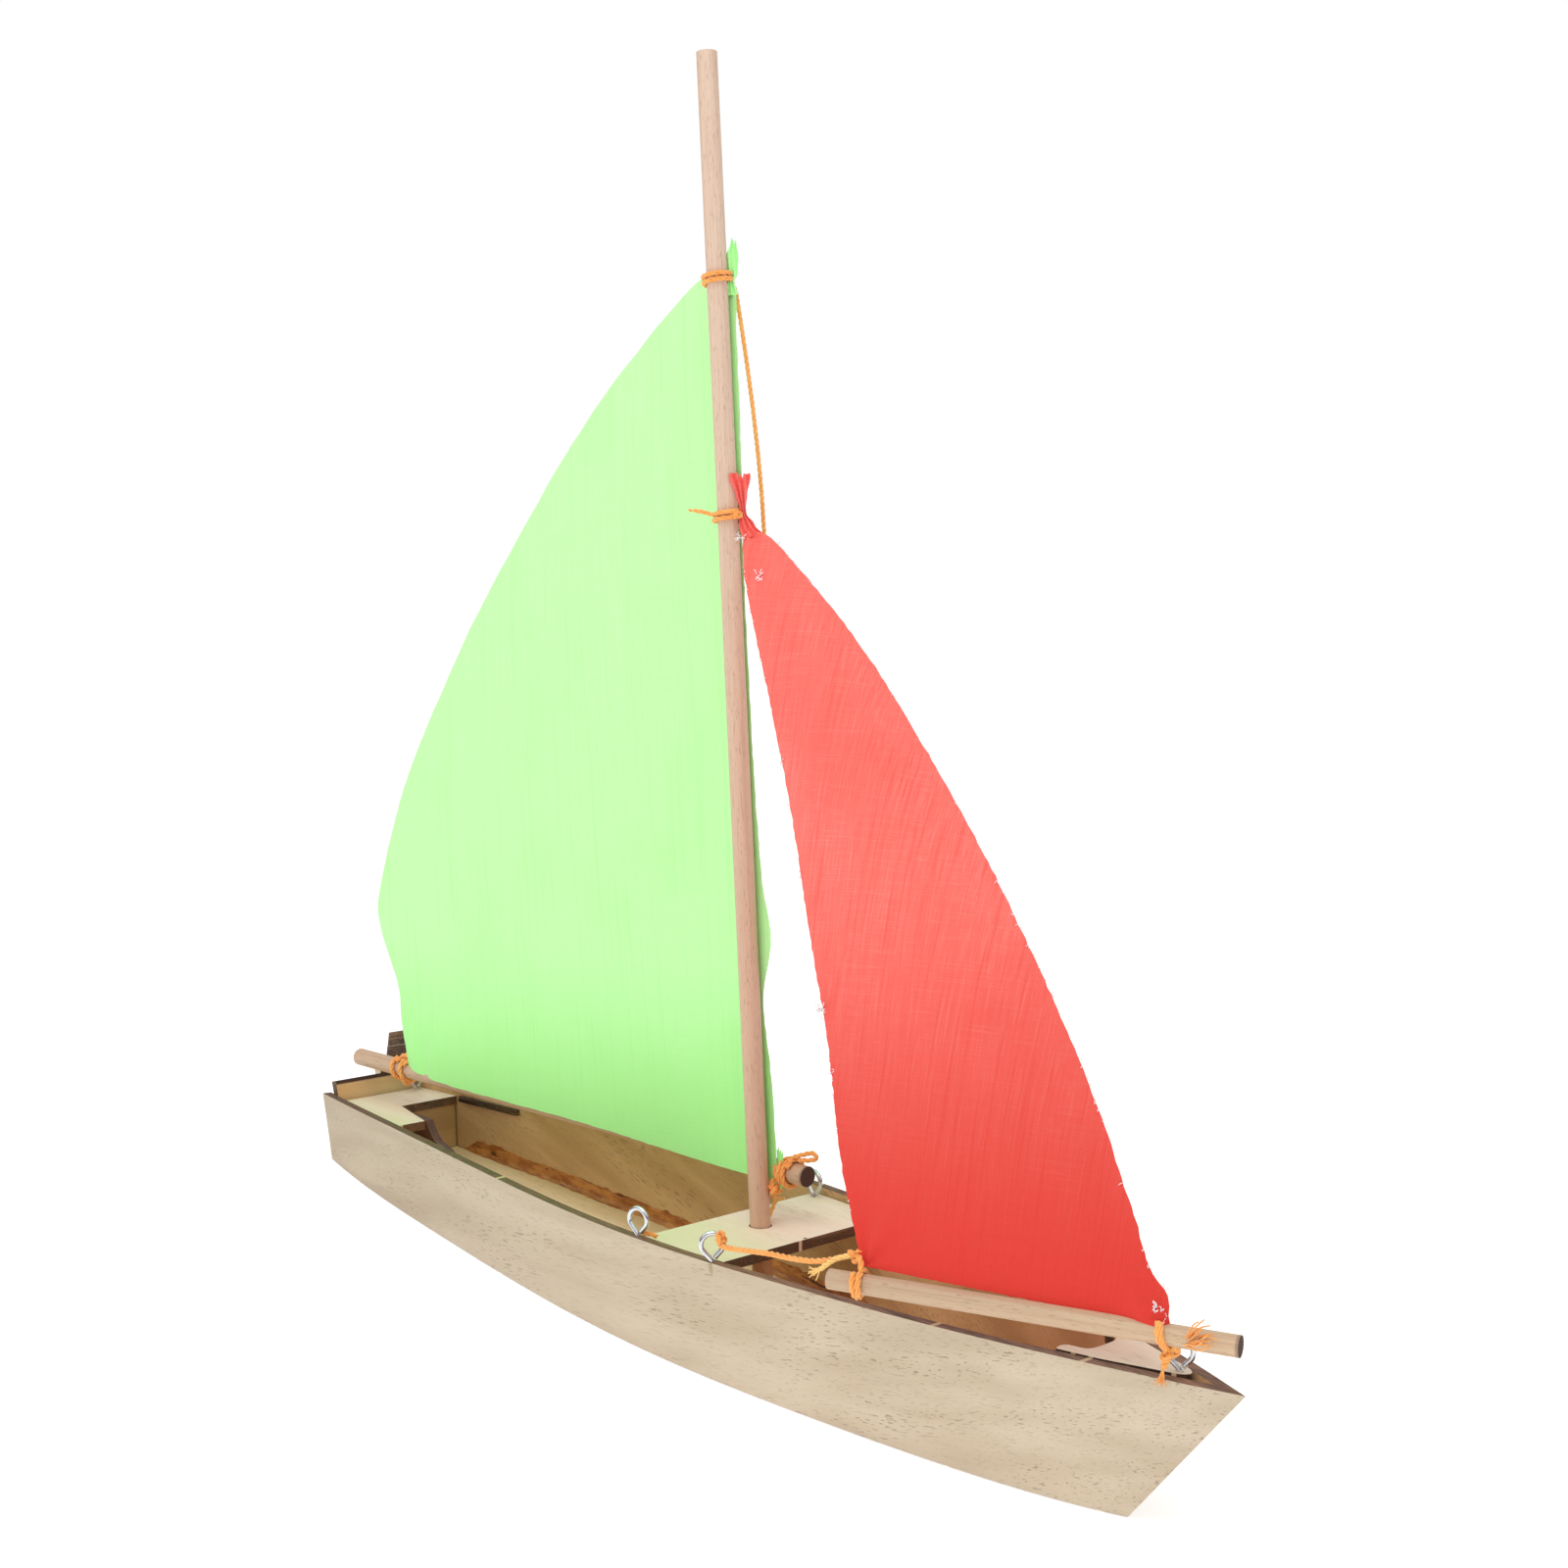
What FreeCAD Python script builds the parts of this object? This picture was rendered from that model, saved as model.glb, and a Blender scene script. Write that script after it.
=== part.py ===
"""Toy sailing boat: a plywood hull kit with a dowel mast, two booms and two cloth sails.

Two frames are used. The base frame stands on the flat bottom board: +X to the bow,
+Y to port, +Z up, origin on the bottom under the mast hole. The deck frame is parallel
to the thwart, with its origin in the mast hole at the thwart's top; the sheer rises
towards the bow, so the deck frame is tipped bow-up over the base frame.
"""
import FreeCAD
import Part
import math
import os
import Sketcher

V = FreeCAD.Vector

SIZES = {
    "ply": 3.0,
    "loft_height": 46.0,
    "dowel": 6.0,
    "jib_dowel": 5.2,
    "mast_above_deck": 335.7,
    "mast_below_deck": 29.6,
    "deck_height": 32.94,
    "deck_slope": 3.32,
    "mast_rake": 7.45,
    "mast_lean": 0.45,
    "transom_rake": 17.0,
    "transom_height": 24.4,
    "thwart_aft": -14.6,
    "thwart_fore": 18.4,
    "mast_hole_radius": 3.35,
    "cord": 1.6,
    "shroud_cord": 1.3,
    "cloth": 0.5,
    "strip": 2.0,
    "eye_ring_radius": 3.15,
    "eye_wire": 1.45,
    "eye_stem": 1.75,
    "shank_length": 4.6,
    "shank_radius": 0.68,
    "pilot_radius": 0.72,
    "pin_diameter": 1.6,
    "pin_bore_radius": 0.85,
    "pin_length": 20.0,
    "gudgeon_height": 3.0,
    "rudder_offset": 6.5,
    "rudder_turn": 3.0,
    "tiller_rise": 26.5,
    "tiller_reach": 13.2,
    "knob_radius": 4.6,
    "knob_height": 3.2,
    "knob_top_radius": 3.75,
    "knob_top_height": 4.8,
    "knob_taper": -13.5,
    "fit_gap": 0.15,
}

doc = FreeCAD.newDocument("toy_boat")
sheet = doc.addObject("Spreadsheet::Sheet", "Sizes")
for row, (alias, value) in enumerate(SIZES.items(), start=1):
    sheet.set("A%d" % row, alias)
    sheet.set("B%d" % row, str(value))
    sheet.setAlias("B%d" % row, alias)
doc.recompute()


def size(alias):
    """Read one driving dimension from the spreadsheet."""
    return float(getattr(sheet, alias))


# The hull's lines, from stern to stem: x and half breadth at the bottom, then x and
# half breadth at the sheer. The two sides are mirror images and meet at the stem.
STATIONS = [
    ((-213.0, 19.4), (-220.0, 19.4)),
    ((-180.0, 24.8), (-181.0, 24.2)),
    ((-120.0, 30.4), (-120.0, 30.8)),
    ((-60.0, 33.8), (-60.0, 36.6)),
    ((-28.0, 33.8), (-28.0, 38.0)),
    ((5.0, 31.6), (5.0, 37.0)),
    ((45.0, 25.7), (45.0, 32.0)),
    ((85.0, 17.6), (88.0, 24.4)),
    ((114.0, 9.8), (125.0, 15.0)),
    ((138.6, 0.0), (170.0, 0.0)),
]
# Height of the sheer over the base at the stern, at the mast and at the stem head.
SHEER = [(-220.0, 22.6), (0.0, 34.8), (170.0, 41.9)]

PLY = size("ply")
GAP = size("fit_gap")
LOFT_HEIGHT = size("loft_height")


def base_placement():
    """The base frame itself."""
    return FreeCAD.Placement()


def deck_placement():
    """The deck frame, tipped bow-up."""
    turn = FreeCAD.Rotation(V(0, 1, 0), -size("deck_slope"))
    return FreeCAD.Placement(V(0, 0, size("deck_height")), turn)


def mast_placement():
    """Origin where the mast's axis meets the thwart's top, +Z up the mast.

    The mast rakes aft and leans a little to port.
    """
    rake = FreeCAD.Rotation(V(0, 1, 0), -size("mast_rake"))
    lean = FreeCAD.Rotation(V(1, 0, 0), -size("mast_lean"))
    return FreeCAD.Placement(V(0, 0, size("deck_height")), lean.multiply(rake))


def frame_placement(origin, x_end, y_end):
    """A frame with +X from origin to x_end and +Y leaning towards y_end."""
    x_axis = (x_end - origin).normalize()
    normal = x_axis.cross(y_end - origin).normalize()
    y_axis = normal.cross(x_axis)
    matrix = FreeCAD.Matrix(
        x_axis.x, y_axis.x, normal.x, origin.x,
        x_axis.y, y_axis.y, normal.y, origin.y,
        x_axis.z, y_axis.z, normal.z, origin.z,
        0, 0, 0, 1)
    return FreeCAD.Placement(matrix)


def deck_point(x, y, z):
    """A point of the deck frame, in the base frame."""
    return deck_placement().multVec(V(x, y, z))


def arc_height(x):
    """Height of the sheer at x, on the circle through the three SHEER points."""
    points = [V(px, 0, pz) for px, pz in SHEER]
    circle = Part.Circle(points[0], points[1], points[2])
    reach = circle.Radius ** 2 - (x - circle.Center.x) ** 2
    return circle.Center.z + math.sqrt(reach)


def hull_curves():
    """The outside plan curves at the base and at the loft's top plane."""
    low = []
    high = []
    for (xb, yb), (xs, ys) in STATIONS:
        stretch = LOFT_HEIGHT / arc_height(xs)
        low.append(V(xb, yb, 0))
        high.append(V(xb + (xs - xb) * stretch, yb + (ys - yb) * stretch, 0))
    steps = [float(i) for i in range(len(STATIONS))]
    curves = []
    for points in (low, high):
        curve = Part.BSplineCurve()
        curve.interpolate(Points=points, Parameters=steps)
        curves.append(curve)
    return curves


CURVES = hull_curves()
LAST = float(len(STATIONS) - 1)


def skin_point(curve, u, depth):
    """A point of a plan curve, moved inboard by depth."""
    point = curve.value(u)
    along = curve.tangent(u)[0]
    inward = V(along.y, -along.x, 0)
    return point + inward * depth


def inner_end(curve, depth):
    """Parameter where the inboard curve meets the centre plane."""
    low = LAST - 2.0
    high = LAST
    for _ in range(50):
        middle = (low + high) / 2
        if skin_point(curve, middle, depth).y > 0:
            low = middle
        else:
            high = middle
    return low


def half_breadth(x, z, depth):
    """Half breadth inside the hull at a base-frame x and z, depth in from the skin."""
    share = z / LOFT_HEIGHT
    low = 0.0
    high = inner_end(CURVES[0], depth)
    point = V(0, 0, 0)
    for _ in range(50):
        u = (low + high) / 2
        below = skin_point(CURVES[0], u, depth)
        above = skin_point(CURVES[1], u, depth)
        point = below * (1 - share) + above * share
        if point.x < x:
            low = u
        else:
            high = u
    return point.y


def deck_half(x, z):
    """Half breadth for a piece that fits between the side panels, in the deck frame."""
    point = deck_point(x, 0, z)
    return half_breadth(point.x, point.z, PLY + GAP)


def new_body(label, placement):
    body = doc.addObject("PartDesign::Body", label)
    body.Label = label
    body.Placement = placement
    return body


def new_sketch(body, name, role, offset=0.0):
    """A sketch on one of the body's own origin planes, moved along its normal."""
    plane = [f for f in body.Origin.OriginFeatures if f.Role == role][0]
    sketch = body.newObject("Sketcher::SketchObject", name)
    sketch.AttachmentSupport = [(plane, "")]
    sketch.MapMode = "FlatFace"
    sketch.AttachmentOffset = FreeCAD.Placement(V(0, 0, offset), FreeCAD.Rotation())
    return sketch


def spline(points):
    curve = Part.BSplineCurve()
    curve.interpolate(Points=[V(*p) if isinstance(p, tuple) else p for p in points])
    return curve


def chain(sketch, pieces):
    """Close a loop of lines and splines: each piece is a list of two or more points."""
    for piece in pieces:
        points = [V(p[0], p[1], 0) for p in piece]
        if len(points) == 2:
            sketch.addGeometry(Part.LineSegment(points[0], points[1]), False)
        else:
            sketch.addGeometry(spline(points), False)


def circle(sketch, x, y, alias):
    """A circle whose radius is bound to the sheet."""
    index = sketch.addGeometry(Part.Circle(V(x, y, 0), V(0, 0, 1), size(alias)), False)
    sketch.addConstraint(Sketcher.Constraint("DistanceX", -1, 1, index, 3, x))
    sketch.addConstraint(Sketcher.Constraint("DistanceY", -1, 1, index, 3, y))
    radius = sketch.addConstraint(Sketcher.Constraint("Radius", index, size(alias)))
    sketch.setExpression("Constraints[%d]" % radius, "Sizes." + alias)


def pad(body, sketch, alias, reverse=False):
    feature = body.newObject("PartDesign::Pad", "Pad")
    feature.Profile = sketch
    feature.setExpression("Length", "Sizes." + alias)
    feature.Reversed = reverse
    body.Tip = feature
    return feature


def cut_through(body, sketch):
    feature = body.newObject("PartDesign::Pocket", "Pocket")
    feature.Profile = sketch
    feature.Type = "ThroughAll"
    feature.Midplane = True
    body.Tip = feature
    return feature


def plate(label, placement, role, offset, pieces, holes=(), alias="ply", reverse=False):
    """A flat piece: one outline padded by a thickness, with round holes in it."""
    body = new_body(label, placement)
    outline = new_sketch(body, label + "_outline", role, offset)
    chain(outline, pieces)
    pad(body, outline, alias, reverse)
    if holes:
        drills = new_sketch(body, label + "_holes", role, offset)
        for x, y, radius in holes:
            circle(drills, x, y, radius)
        cut_through(body, drills)
    return body


def rod(label, start, end, alias, length_alias=None):
    """A round rod from one point to another."""
    part = doc.addObject("Part::Cylinder", label)
    part.Label = label
    part.setExpression("Radius", "Sizes.%s / 2" % alias)
    if length_alias:
        part.setExpression("Height", "Sizes." + length_alias)
    else:
        part.Height = (end - start).Length
    part.Placement = FreeCAD.Placement(start, FreeCAD.Rotation(V(0, 0, 1), end - start))
    return part


def fused(label, members):
    """Join primitives that are one physical piece."""
    part = doc.addObject("Part::MultiFuse", label)
    part.Label = label
    part.Shapes = members
    return part


# ---------------------------------------------------------------- hull shell

def side_panel(label, side):
    """One bent side: a loft between its plan at the base and above, cut to the sheer."""
    body = new_body(label, base_placement())
    sketches = []
    for level, curve in enumerate(CURVES):
        name = "%s_plan_%d" % (label, level)
        sketch = new_sketch(body, name, "XY_Plane", level * LOFT_HEIGHT)
        outer = [skin_point(curve, u, 0) for u in range(int(LAST) + 1)]
        end = inner_end(curve, PLY)
        steps = 12
        inner = [skin_point(curve, end * i / steps, PLY) for i in range(steps)]
        last = skin_point(curve, end, PLY)
        inner.append(V(last.x, 0, 0))
        outer = [(p.x, side * p.y) for p in outer]
        inner = [(p.x, side * p.y) for p in inner]
        chain(sketch, [outer, [outer[-1], inner[-1]], inner[::-1], [inner[0], outer[0]]])
        sketches.append(sketch)
    loft = body.newObject("PartDesign::AdditiveLoft", "Loft")
    loft.Profile = sketches[0]
    loft.Sections = [sketches[1]]
    loft.Ruled = True
    body.Tip = loft
    trim = new_sketch(body, label + "_sheer", "XZ_Plane")
    margin = 30.0
    start = (SHEER[0][0] - margin, arc_height(SHEER[0][0] - margin))
    middle = SHEER[1]
    end = (SHEER[2][0] + margin, arc_height(SHEER[2][0] + margin))
    top = LOFT_HEIGHT + margin
    arc = Part.Arc(V(start[0], start[1], 0), V(middle[0], middle[1], 0), V(end[0], end[1], 0))
    trim.addGeometry(arc, False)
    chain(trim, [[end, (end[0], top)], [(end[0], top), (start[0], top)], [(start[0], top), start]])
    cut_through(body, trim)
    return body


def bottom_board():
    """The flat bottom between the side panels."""
    stern = -208.5
    nose = 126.0
    stations = [stern, -180, -140, -100, -60, -25, 10, 45, 80, 105, nose]
    port = [(x, half_breadth(x, PLY / 2, PLY + GAP) - 0.2) for x in stations]
    star = [(x, -y) for x, y in port]
    pieces = [port, [port[-1], star[-1]], star[::-1], [star[0], port[0]]]
    return plate("bottom_board", base_placement(), "XY_Plane", 0, pieces)


def transom_placement():
    """Origin at the foot of the transom's aft face, +Z up the face."""
    rake = size("transom_rake")
    top_x = -219.8
    top_z = 26.4
    rise = size("transom_height")
    lean = math.radians(rake)
    foot = V(top_x + rise * math.sin(lean), 0, top_z - rise * math.cos(lean))
    return FreeCAD.Placement(foot, FreeCAD.Rotation(V(0, 1, 0), -rake))


def transom():
    """The stern board, between the panels and a little higher than them."""
    rise = size("transom_height")
    foot = 15.1
    head = 15.9
    pieces = [[(-foot, 0), (foot, 0)], [(foot, 0), (head, rise)],
              [(head, rise), (-head, rise)], [(-head, rise), (-foot, 0)]]
    return plate("transom", transom_placement(), "YZ_Plane", 0, pieces)


# ---------------------------------------------------------------- decks and frames

EYES = {
    # deck-frame x, y and height of the foot, the ring's turn about its shank, the piece
    # that it screws into
    "eye_thwart_rear_starboard": (-11.1, -35.9, 1.95, 12.0, "side_panel_starboard"),
    "eye_thwart_fore_starboard": (20.0, -34.3, 1.66, 50.0, "side_panel_starboard"),
    "eye_thwart_rear_port": (-11.5, 31.0, 0.0, -5.0, "thwart"),
    "eye_thwart_fore_port": (14.6, 29.2, 0.0, 20.0, "thwart"),
    "eye_stern": (-211.0, 14.2, 0.0, 90.0, "stern_deck"),
    "eye_bow": (152.0, -0.6, 0.0, 35.0, "fore_deck"),
}


def pilot_holes(owner):
    return [(x, y, "pilot_radius") for x, y, _, _, piece in EYES.values() if piece == owner]


def thwart():
    """The cross seat that carries the mast, 3 mm ply, with a loose mast hole."""
    aft = size("thwart_aft")
    fore = size("thwart_fore")
    stations = [aft, (aft + fore) / 2, fore]
    port = [(x, deck_half(x, -PLY)) for x in stations]
    star = [(x, -y) for x, y in port]
    pieces = [port, [port[-1], star[-1]], star[::-1], [star[0], port[0]]]
    holes = [(0.0, 0.0, "mast_hole_radius")] + pilot_holes("thwart")
    return plate("thwart", deck_placement(), "XY_Plane", -PLY, pieces, holes)


def thwart_cleat(label, side):
    """A strip under one end of the thwart, against the side panel."""
    aft = size("thwart_aft") + 1.0
    fore = size("thwart_fore") - 1.0
    width = 4.0
    depth = -2 * PLY
    outer = [(x, side * (deck_half(x, depth) - GAP)) for x in (aft, fore)]
    inner = [(x, y - side * width) for x, y in outer]
    corners = [outer[0], outer[1], inner[1], inner[0]]
    pieces = [[a, b] for a, b in zip(corners, corners[1:] + corners[:1])]
    holes = [hole for hole in pilot_holes("thwart") if hole[1] * side > 0]
    return plate(label, deck_placement(), "XY_Plane", depth, pieces, holes)


def mast_step():
    """A square block on the bottom board that holds the mast's foot."""
    half = 13.0
    drop = size("deck_height") - 1.5 * PLY
    centre = drop * math.tan(math.radians(size("mast_rake")))
    aside = -drop * math.tan(math.radians(size("mast_lean")))
    corners = [(centre - half, -half), (centre + half, -half),
               (centre + half, half), (centre - half, half)]
    pieces = [[a, b] for a, b in zip(corners, corners[1:] + corners[:1])]
    holes = [(centre, aside, "mast_hole_radius")]
    return plate("mast_step", base_placement(), "XY_Plane", PLY, pieces, holes)


def stern_deck():
    """The aft deck: a full-width strip with a tab along the starboard side."""
    aft = -213.4
    front = -193.0
    tab = -169.2
    port = [(x, deck_half(x, -PLY)) for x in (aft, (aft + front) / 2, front)]
    star = [(x, -deck_half(x, -PLY)) for x in (aft, -200.0, -185.0, tab)]
    notch = (front, -3.1)
    corner = (tab, -8.2)
    pieces = [port, [port[-1], notch], [notch, corner], [corner, star[-1]],
              star[::-1], [star[0], port[0]]]
    return plate("stern_deck", deck_placement(), "XY_Plane", -PLY, pieces,
                 pilot_holes("stern_deck"))


def floor_height(x):
    """Deck-frame height of the bottom board's top at a deck-frame x."""
    slope = math.radians(size("deck_slope"))
    return (PLY - size("deck_height")) / math.cos(slope) - x * math.tan(slope)


def cross_frame(label, x, drop):
    """An upright frame across the hull, from the bottom board to a deck's underside."""
    top = -PLY - drop
    low = floor_height(x + PLY) + 0.1
    wide_top = deck_half(x, top) - 0.1
    wide_low = deck_half(x, low) - 0.1
    if x > 0:
        wide_top = deck_half(x + PLY, top) - 0.1
        wide_low = deck_half(x + PLY, low) - 0.1
    low = max(low, floor_height(x) + 0.1)
    pieces = [[(-wide_low, low), (wide_low, low)], [(wide_low, low), (wide_top, top)],
              [(wide_top, top), (-wide_top, top)], [(-wide_top, top), (-wide_low, low)]]
    return plate(label, deck_placement(), "YZ_Plane", x, pieces)


def stern_knee():
    """The S-curved bracket on the centre line, ahead of the stern frame."""
    back = -193.2
    toe = -161.0
    low = floor_height(back) + 0.1
    step = 4.0
    top = -PLY - 0.05
    sweep = [(-179.6, top), (-178.0, -5.2), (-176.2, -7.4), (-172.6, -9.7), (-166.9, -11.4),
             (-163.2, -13.6), (toe, low + step)]
    pieces = [[(back, low), (back, top)], [(back, top), sweep[0]], sweep,
              [sweep[-1], (toe, low)], [(toe, low), (back, low)]]
    return plate("stern_knee", deck_placement(), "XZ_Plane", -PLY / 2, pieces)


def stern_cleat(label, side, fore, width, top, alias):
    """A strip along the inside of a side panel, under or ahead of the stern deck."""
    aft = -189.8
    low = top - size(alias)
    outer = [(x, side * (deck_half(x, low) - GAP)) for x in (aft, fore)]
    inner = [(x, y - side * width) for x, y in outer]
    corners = [outer[0], outer[1], inner[1], inner[0]]
    pieces = [[a, b] for a, b in zip(corners, corners[1:] + corners[:1])]
    return plate(label, deck_placement(), "XY_Plane", low, pieces, alias=alias)


def fore_deck():
    """The small bow deck with its fish-tail aft edge and blunt nose."""
    lobe = [(122.6, 11.0), (122.9, 7.0), (127.4, 5.6), (128.7, 0.0),
            (127.4, -5.6), (122.9, -7.0), (122.6, -11.0)]
    nose = [(152.6, -2.3), (154.6, 0.0), (152.6, 2.3)]
    shoulder = (134.0, 8.4)
    flank_star = [lobe[-1], (shoulder[0], -shoulder[1]), nose[0]]
    flank_port = [nose[-1], shoulder, lobe[0]]
    pieces = [lobe, [flank_star[0], flank_star[1]], [flank_star[1], flank_star[2]], nose,
              [flank_port[0], flank_port[1]], [flank_port[1], flank_port[2]]]
    return plate("fore_deck", deck_placement(), "XY_Plane", -PLY, pieces,
                 pilot_holes("fore_deck"))


def stem_block():
    """The upright block behind the stem, where the side panels are glued together."""
    aft = 138.0
    fore = 146.0
    low = -14.0
    top = -PLY - 0.1
    rake = 5.3
    pieces = [[(aft, top), (fore, top)], [(fore, top), (fore - rake, low)],
              [(fore - rake, low), (aft - rake, low)], [(aft - rake, low), (aft, top)]]
    return plate("stem_block", deck_placement(), "XZ_Plane", -PLY / 2, pieces)


def screw_eye(label):
    """A wire ring on a short stem, with the shank's screw in the wood."""
    x, y, foot, turn, _ = EYES[label]
    deck = deck_placement()
    ring = doc.addObject("Part::Torus", label + "_ring")
    ring.setExpression("Radius1", "Sizes.eye_ring_radius")
    ring.setExpression("Radius2", "Sizes.eye_wire / 2")
    rise = foot + size("eye_stem") + size("eye_ring_radius")
    stand = FreeCAD.Rotation(V(0, 0, 1), turn).multiply(FreeCAD.Rotation(V(1, 0, 0), 90))
    ring.Placement = deck.multiply(FreeCAD.Placement(V(x, y, rise), stand))
    shank = doc.addObject("Part::Cylinder", label + "_shank")
    shank.setExpression("Radius", "Sizes.shank_radius")
    shank.setExpression("Height", "Sizes.shank_length + Sizes.eye_stem")
    point = V(x, y, foot - size("shank_length"))
    shank.Placement = deck.multiply(FreeCAD.Placement(point, FreeCAD.Rotation()))
    return fused(label, [ring, shank])


# ---------------------------------------------------------------- spars

def on_mast(rise, forward=0.0, port=0.0):
    """A base-frame point beside the mast's axis."""
    return mast_placement().multVec(V(forward, port, rise))


# The main boom lies against the mast's port side; the sail's foot hangs between them.
BOOM_AFT = deck_point(-218.7, -4.65, 13.88)
BOOM_FORE = deck_point(12.1, 7.55, 15.5)
JIB_AFT = deck_point(71.6, -38.5, 10.7)
JIB_FORE = deck_point(168.7, -0.05, 10.4)


def along(start, end, distance):
    return start + (end - start).normalize() * distance


def mast():
    foot = on_mast(-size("mast_below_deck"))
    head = on_mast(size("mast_above_deck"))
    part = rod("mast", foot, head, "dowel")
    part.setExpression("Height", "Sizes.mast_above_deck + Sizes.mast_below_deck")
    return part


def turns(label, centre, direction, spar_alias, count, knot=None):
    """Cord wound round a spar: rings side by side, with a knot that touches them."""
    members = []
    pitch = size("cord") * 0.98
    for index in range(count):
        ring = doc.addObject("Part::Torus", "%s_turn_%d" % (label, index))
        ring.setExpression("Radius1", "Sizes.%s / 2 + Sizes.cord / 2 + 0.06" % spar_alias)
        ring.setExpression("Radius2", "Sizes.cord / 2")
        step = (index - (count - 1) / 2) * pitch
        place = centre + direction.normalize() * step
        ring.Placement = FreeCAD.Placement(place, FreeCAD.Rotation(V(0, 0, 1), direction))
        members.append(ring)
    if knot:
        ball = doc.addObject("Part::Sphere", label + "_knot")
        ball.setExpression("Radius", "Sizes.cord * 1.2")
        ball.Placement = FreeCAD.Placement(knot, FreeCAD.Rotation())
        members.append(ball)
    return fused(label, members)


# ---------------------------------------------------------------- sails

# Sail outlines, in millimetres on the flat cloth. The mainsail's are from the mast's axis
# at the thwart, x along the boom and y up the mast. The jib's are from its clew, x along
# its foot and y square to it.
MAIN_LUFF = [(6.2, 23.0), (4.7, 37.0), (2.1, 59.6), (2.4, 68.5), (6.3, 83.0), (3.8, 99.4),
             (2.4, 128.0), (2.0, 161.0), (1.9, 195.0), (2.0, 201.4)]
MAIN_LUFF_TOP = [(2.2, 207.0), (3.1, 225.0), (3.4, 254.8), (3.9, 267.2)]
# The luff is slit where the jib's head lashing passes between the cloth and the mast.
LASHING_SLIT = [(-4.2, 201.4), (-4.2, 207.0)]
MAIN_LEECH = [(-6.5, 271.5), (-17.0, 270.6), (-36.6, 259.7), (-69.0, 237.6), (-106.9, 204.6),
              (-142.5, 168.3), (-174.4, 128.9), (-192.6, 94.4), (-195.1, 80.3),
              (-185.8, 59.9), (-184.6, 46.1), (-181.0, 26.6)]
MAIN_FOOT = [(-181.0, 26.6), (-150.0, 24.4), (-81.5, 21.0), (-34.9, 17.4), (4.0, 14.4)]
JIB_LUFF = [(-69.5, 194.6), (-61.9, 189.9), (-34.2, 164.6), (-8.4, 135.4), (15.3, 105.3),
            (35.5, 76.8), (52.7, 49.6), (66.8, 23.4), (72.4, 12.0), (78.0, 6.5), (79.3, 1.6)]
JIB_LEECH = [(-75.3, 194.6), (-71.8, 180.6), (-58.4, 149.4), (-44.6, 116.6), (-32.6, 85.1),
             (-20.8, 54.9), (-11.3, 25.7), (0.0, 0.0)]


def mainsail():
    """The large sail, between the mast and the boom, from the head down to the foot."""
    up = (on_mast(1.0) - on_mast(0.0)).normalize()
    forward = V(BOOM_FORE.x - BOOM_AFT.x, BOOM_FORE.y - BOOM_AFT.y, 0)
    port = up.cross(forward).normalize()
    forward = port.cross(up)
    base = on_mast(0.0)
    placement = frame_placement(base, base + forward, base + up)
    pieces = [MAIN_LUFF, [MAIN_LUFF[-1], LASHING_SLIT[0]], LASHING_SLIT,
              [LASHING_SLIT[-1], MAIN_LUFF_TOP[0]], MAIN_LUFF_TOP,
              [MAIN_LUFF_TOP[-1], MAIN_LEECH[0]], MAIN_LEECH, MAIN_FOOT,
              [MAIN_FOOT[-1], MAIN_LUFF[0]]]
    clear = 0.2
    offset = -(size("dowel") / 2 + clear + size("cloth"))
    return plate("mainsail", placement, "XY_Plane", offset, pieces, alias="cloth")


JIB_CLEW = deck_point(79.0, -34.0, 14.8)
JIB_TACK = deck_point(150.2, -6.6, 12.7)
JIB_HEAD = deck_point(-11.8, 5.9, 204.3)


def jib():
    """The small sail, from the tie on the mast to its clew and tack on the jib boom."""
    placement = frame_placement(JIB_CLEW, JIB_TACK, JIB_HEAD)
    pieces = [JIB_LUFF, [JIB_LUFF[-1], JIB_LEECH[-1]], JIB_LEECH[::-1],
              [JIB_LEECH[0], JIB_LUFF[0]]]
    return plate("jib", placement, "XY_Plane", -size("cloth") / 2, pieces, alias="cloth")


# ---------------------------------------------------------------- cords

# The jib sheet sags from the knot on the starboard eye to the knot on the jib's clew.
JIB_SHEET = [(24.6, -34.8, 7.0), (33.0, -34.8, 8.0), (43.0, -34.7, 9.7), (54.0, -34.6, 10.6),
             (65.0, -34.4, 12.4), (74.6, -34.2, 16.5)]
# The shroud runs from the main head lashing to the port eye. It is slack: it falls close to
# the mast at first and bows out lower down.
SHROUD = [(-17.1, 7.4, 266.0), (-12.6, 11.4, 228.0), (-12.8, 15.0, 178.0), (-0.5, 22.6, 98.0),
          (12.4, 27.6, 46.0), (13.9, 30.3, 9.6)]


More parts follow.
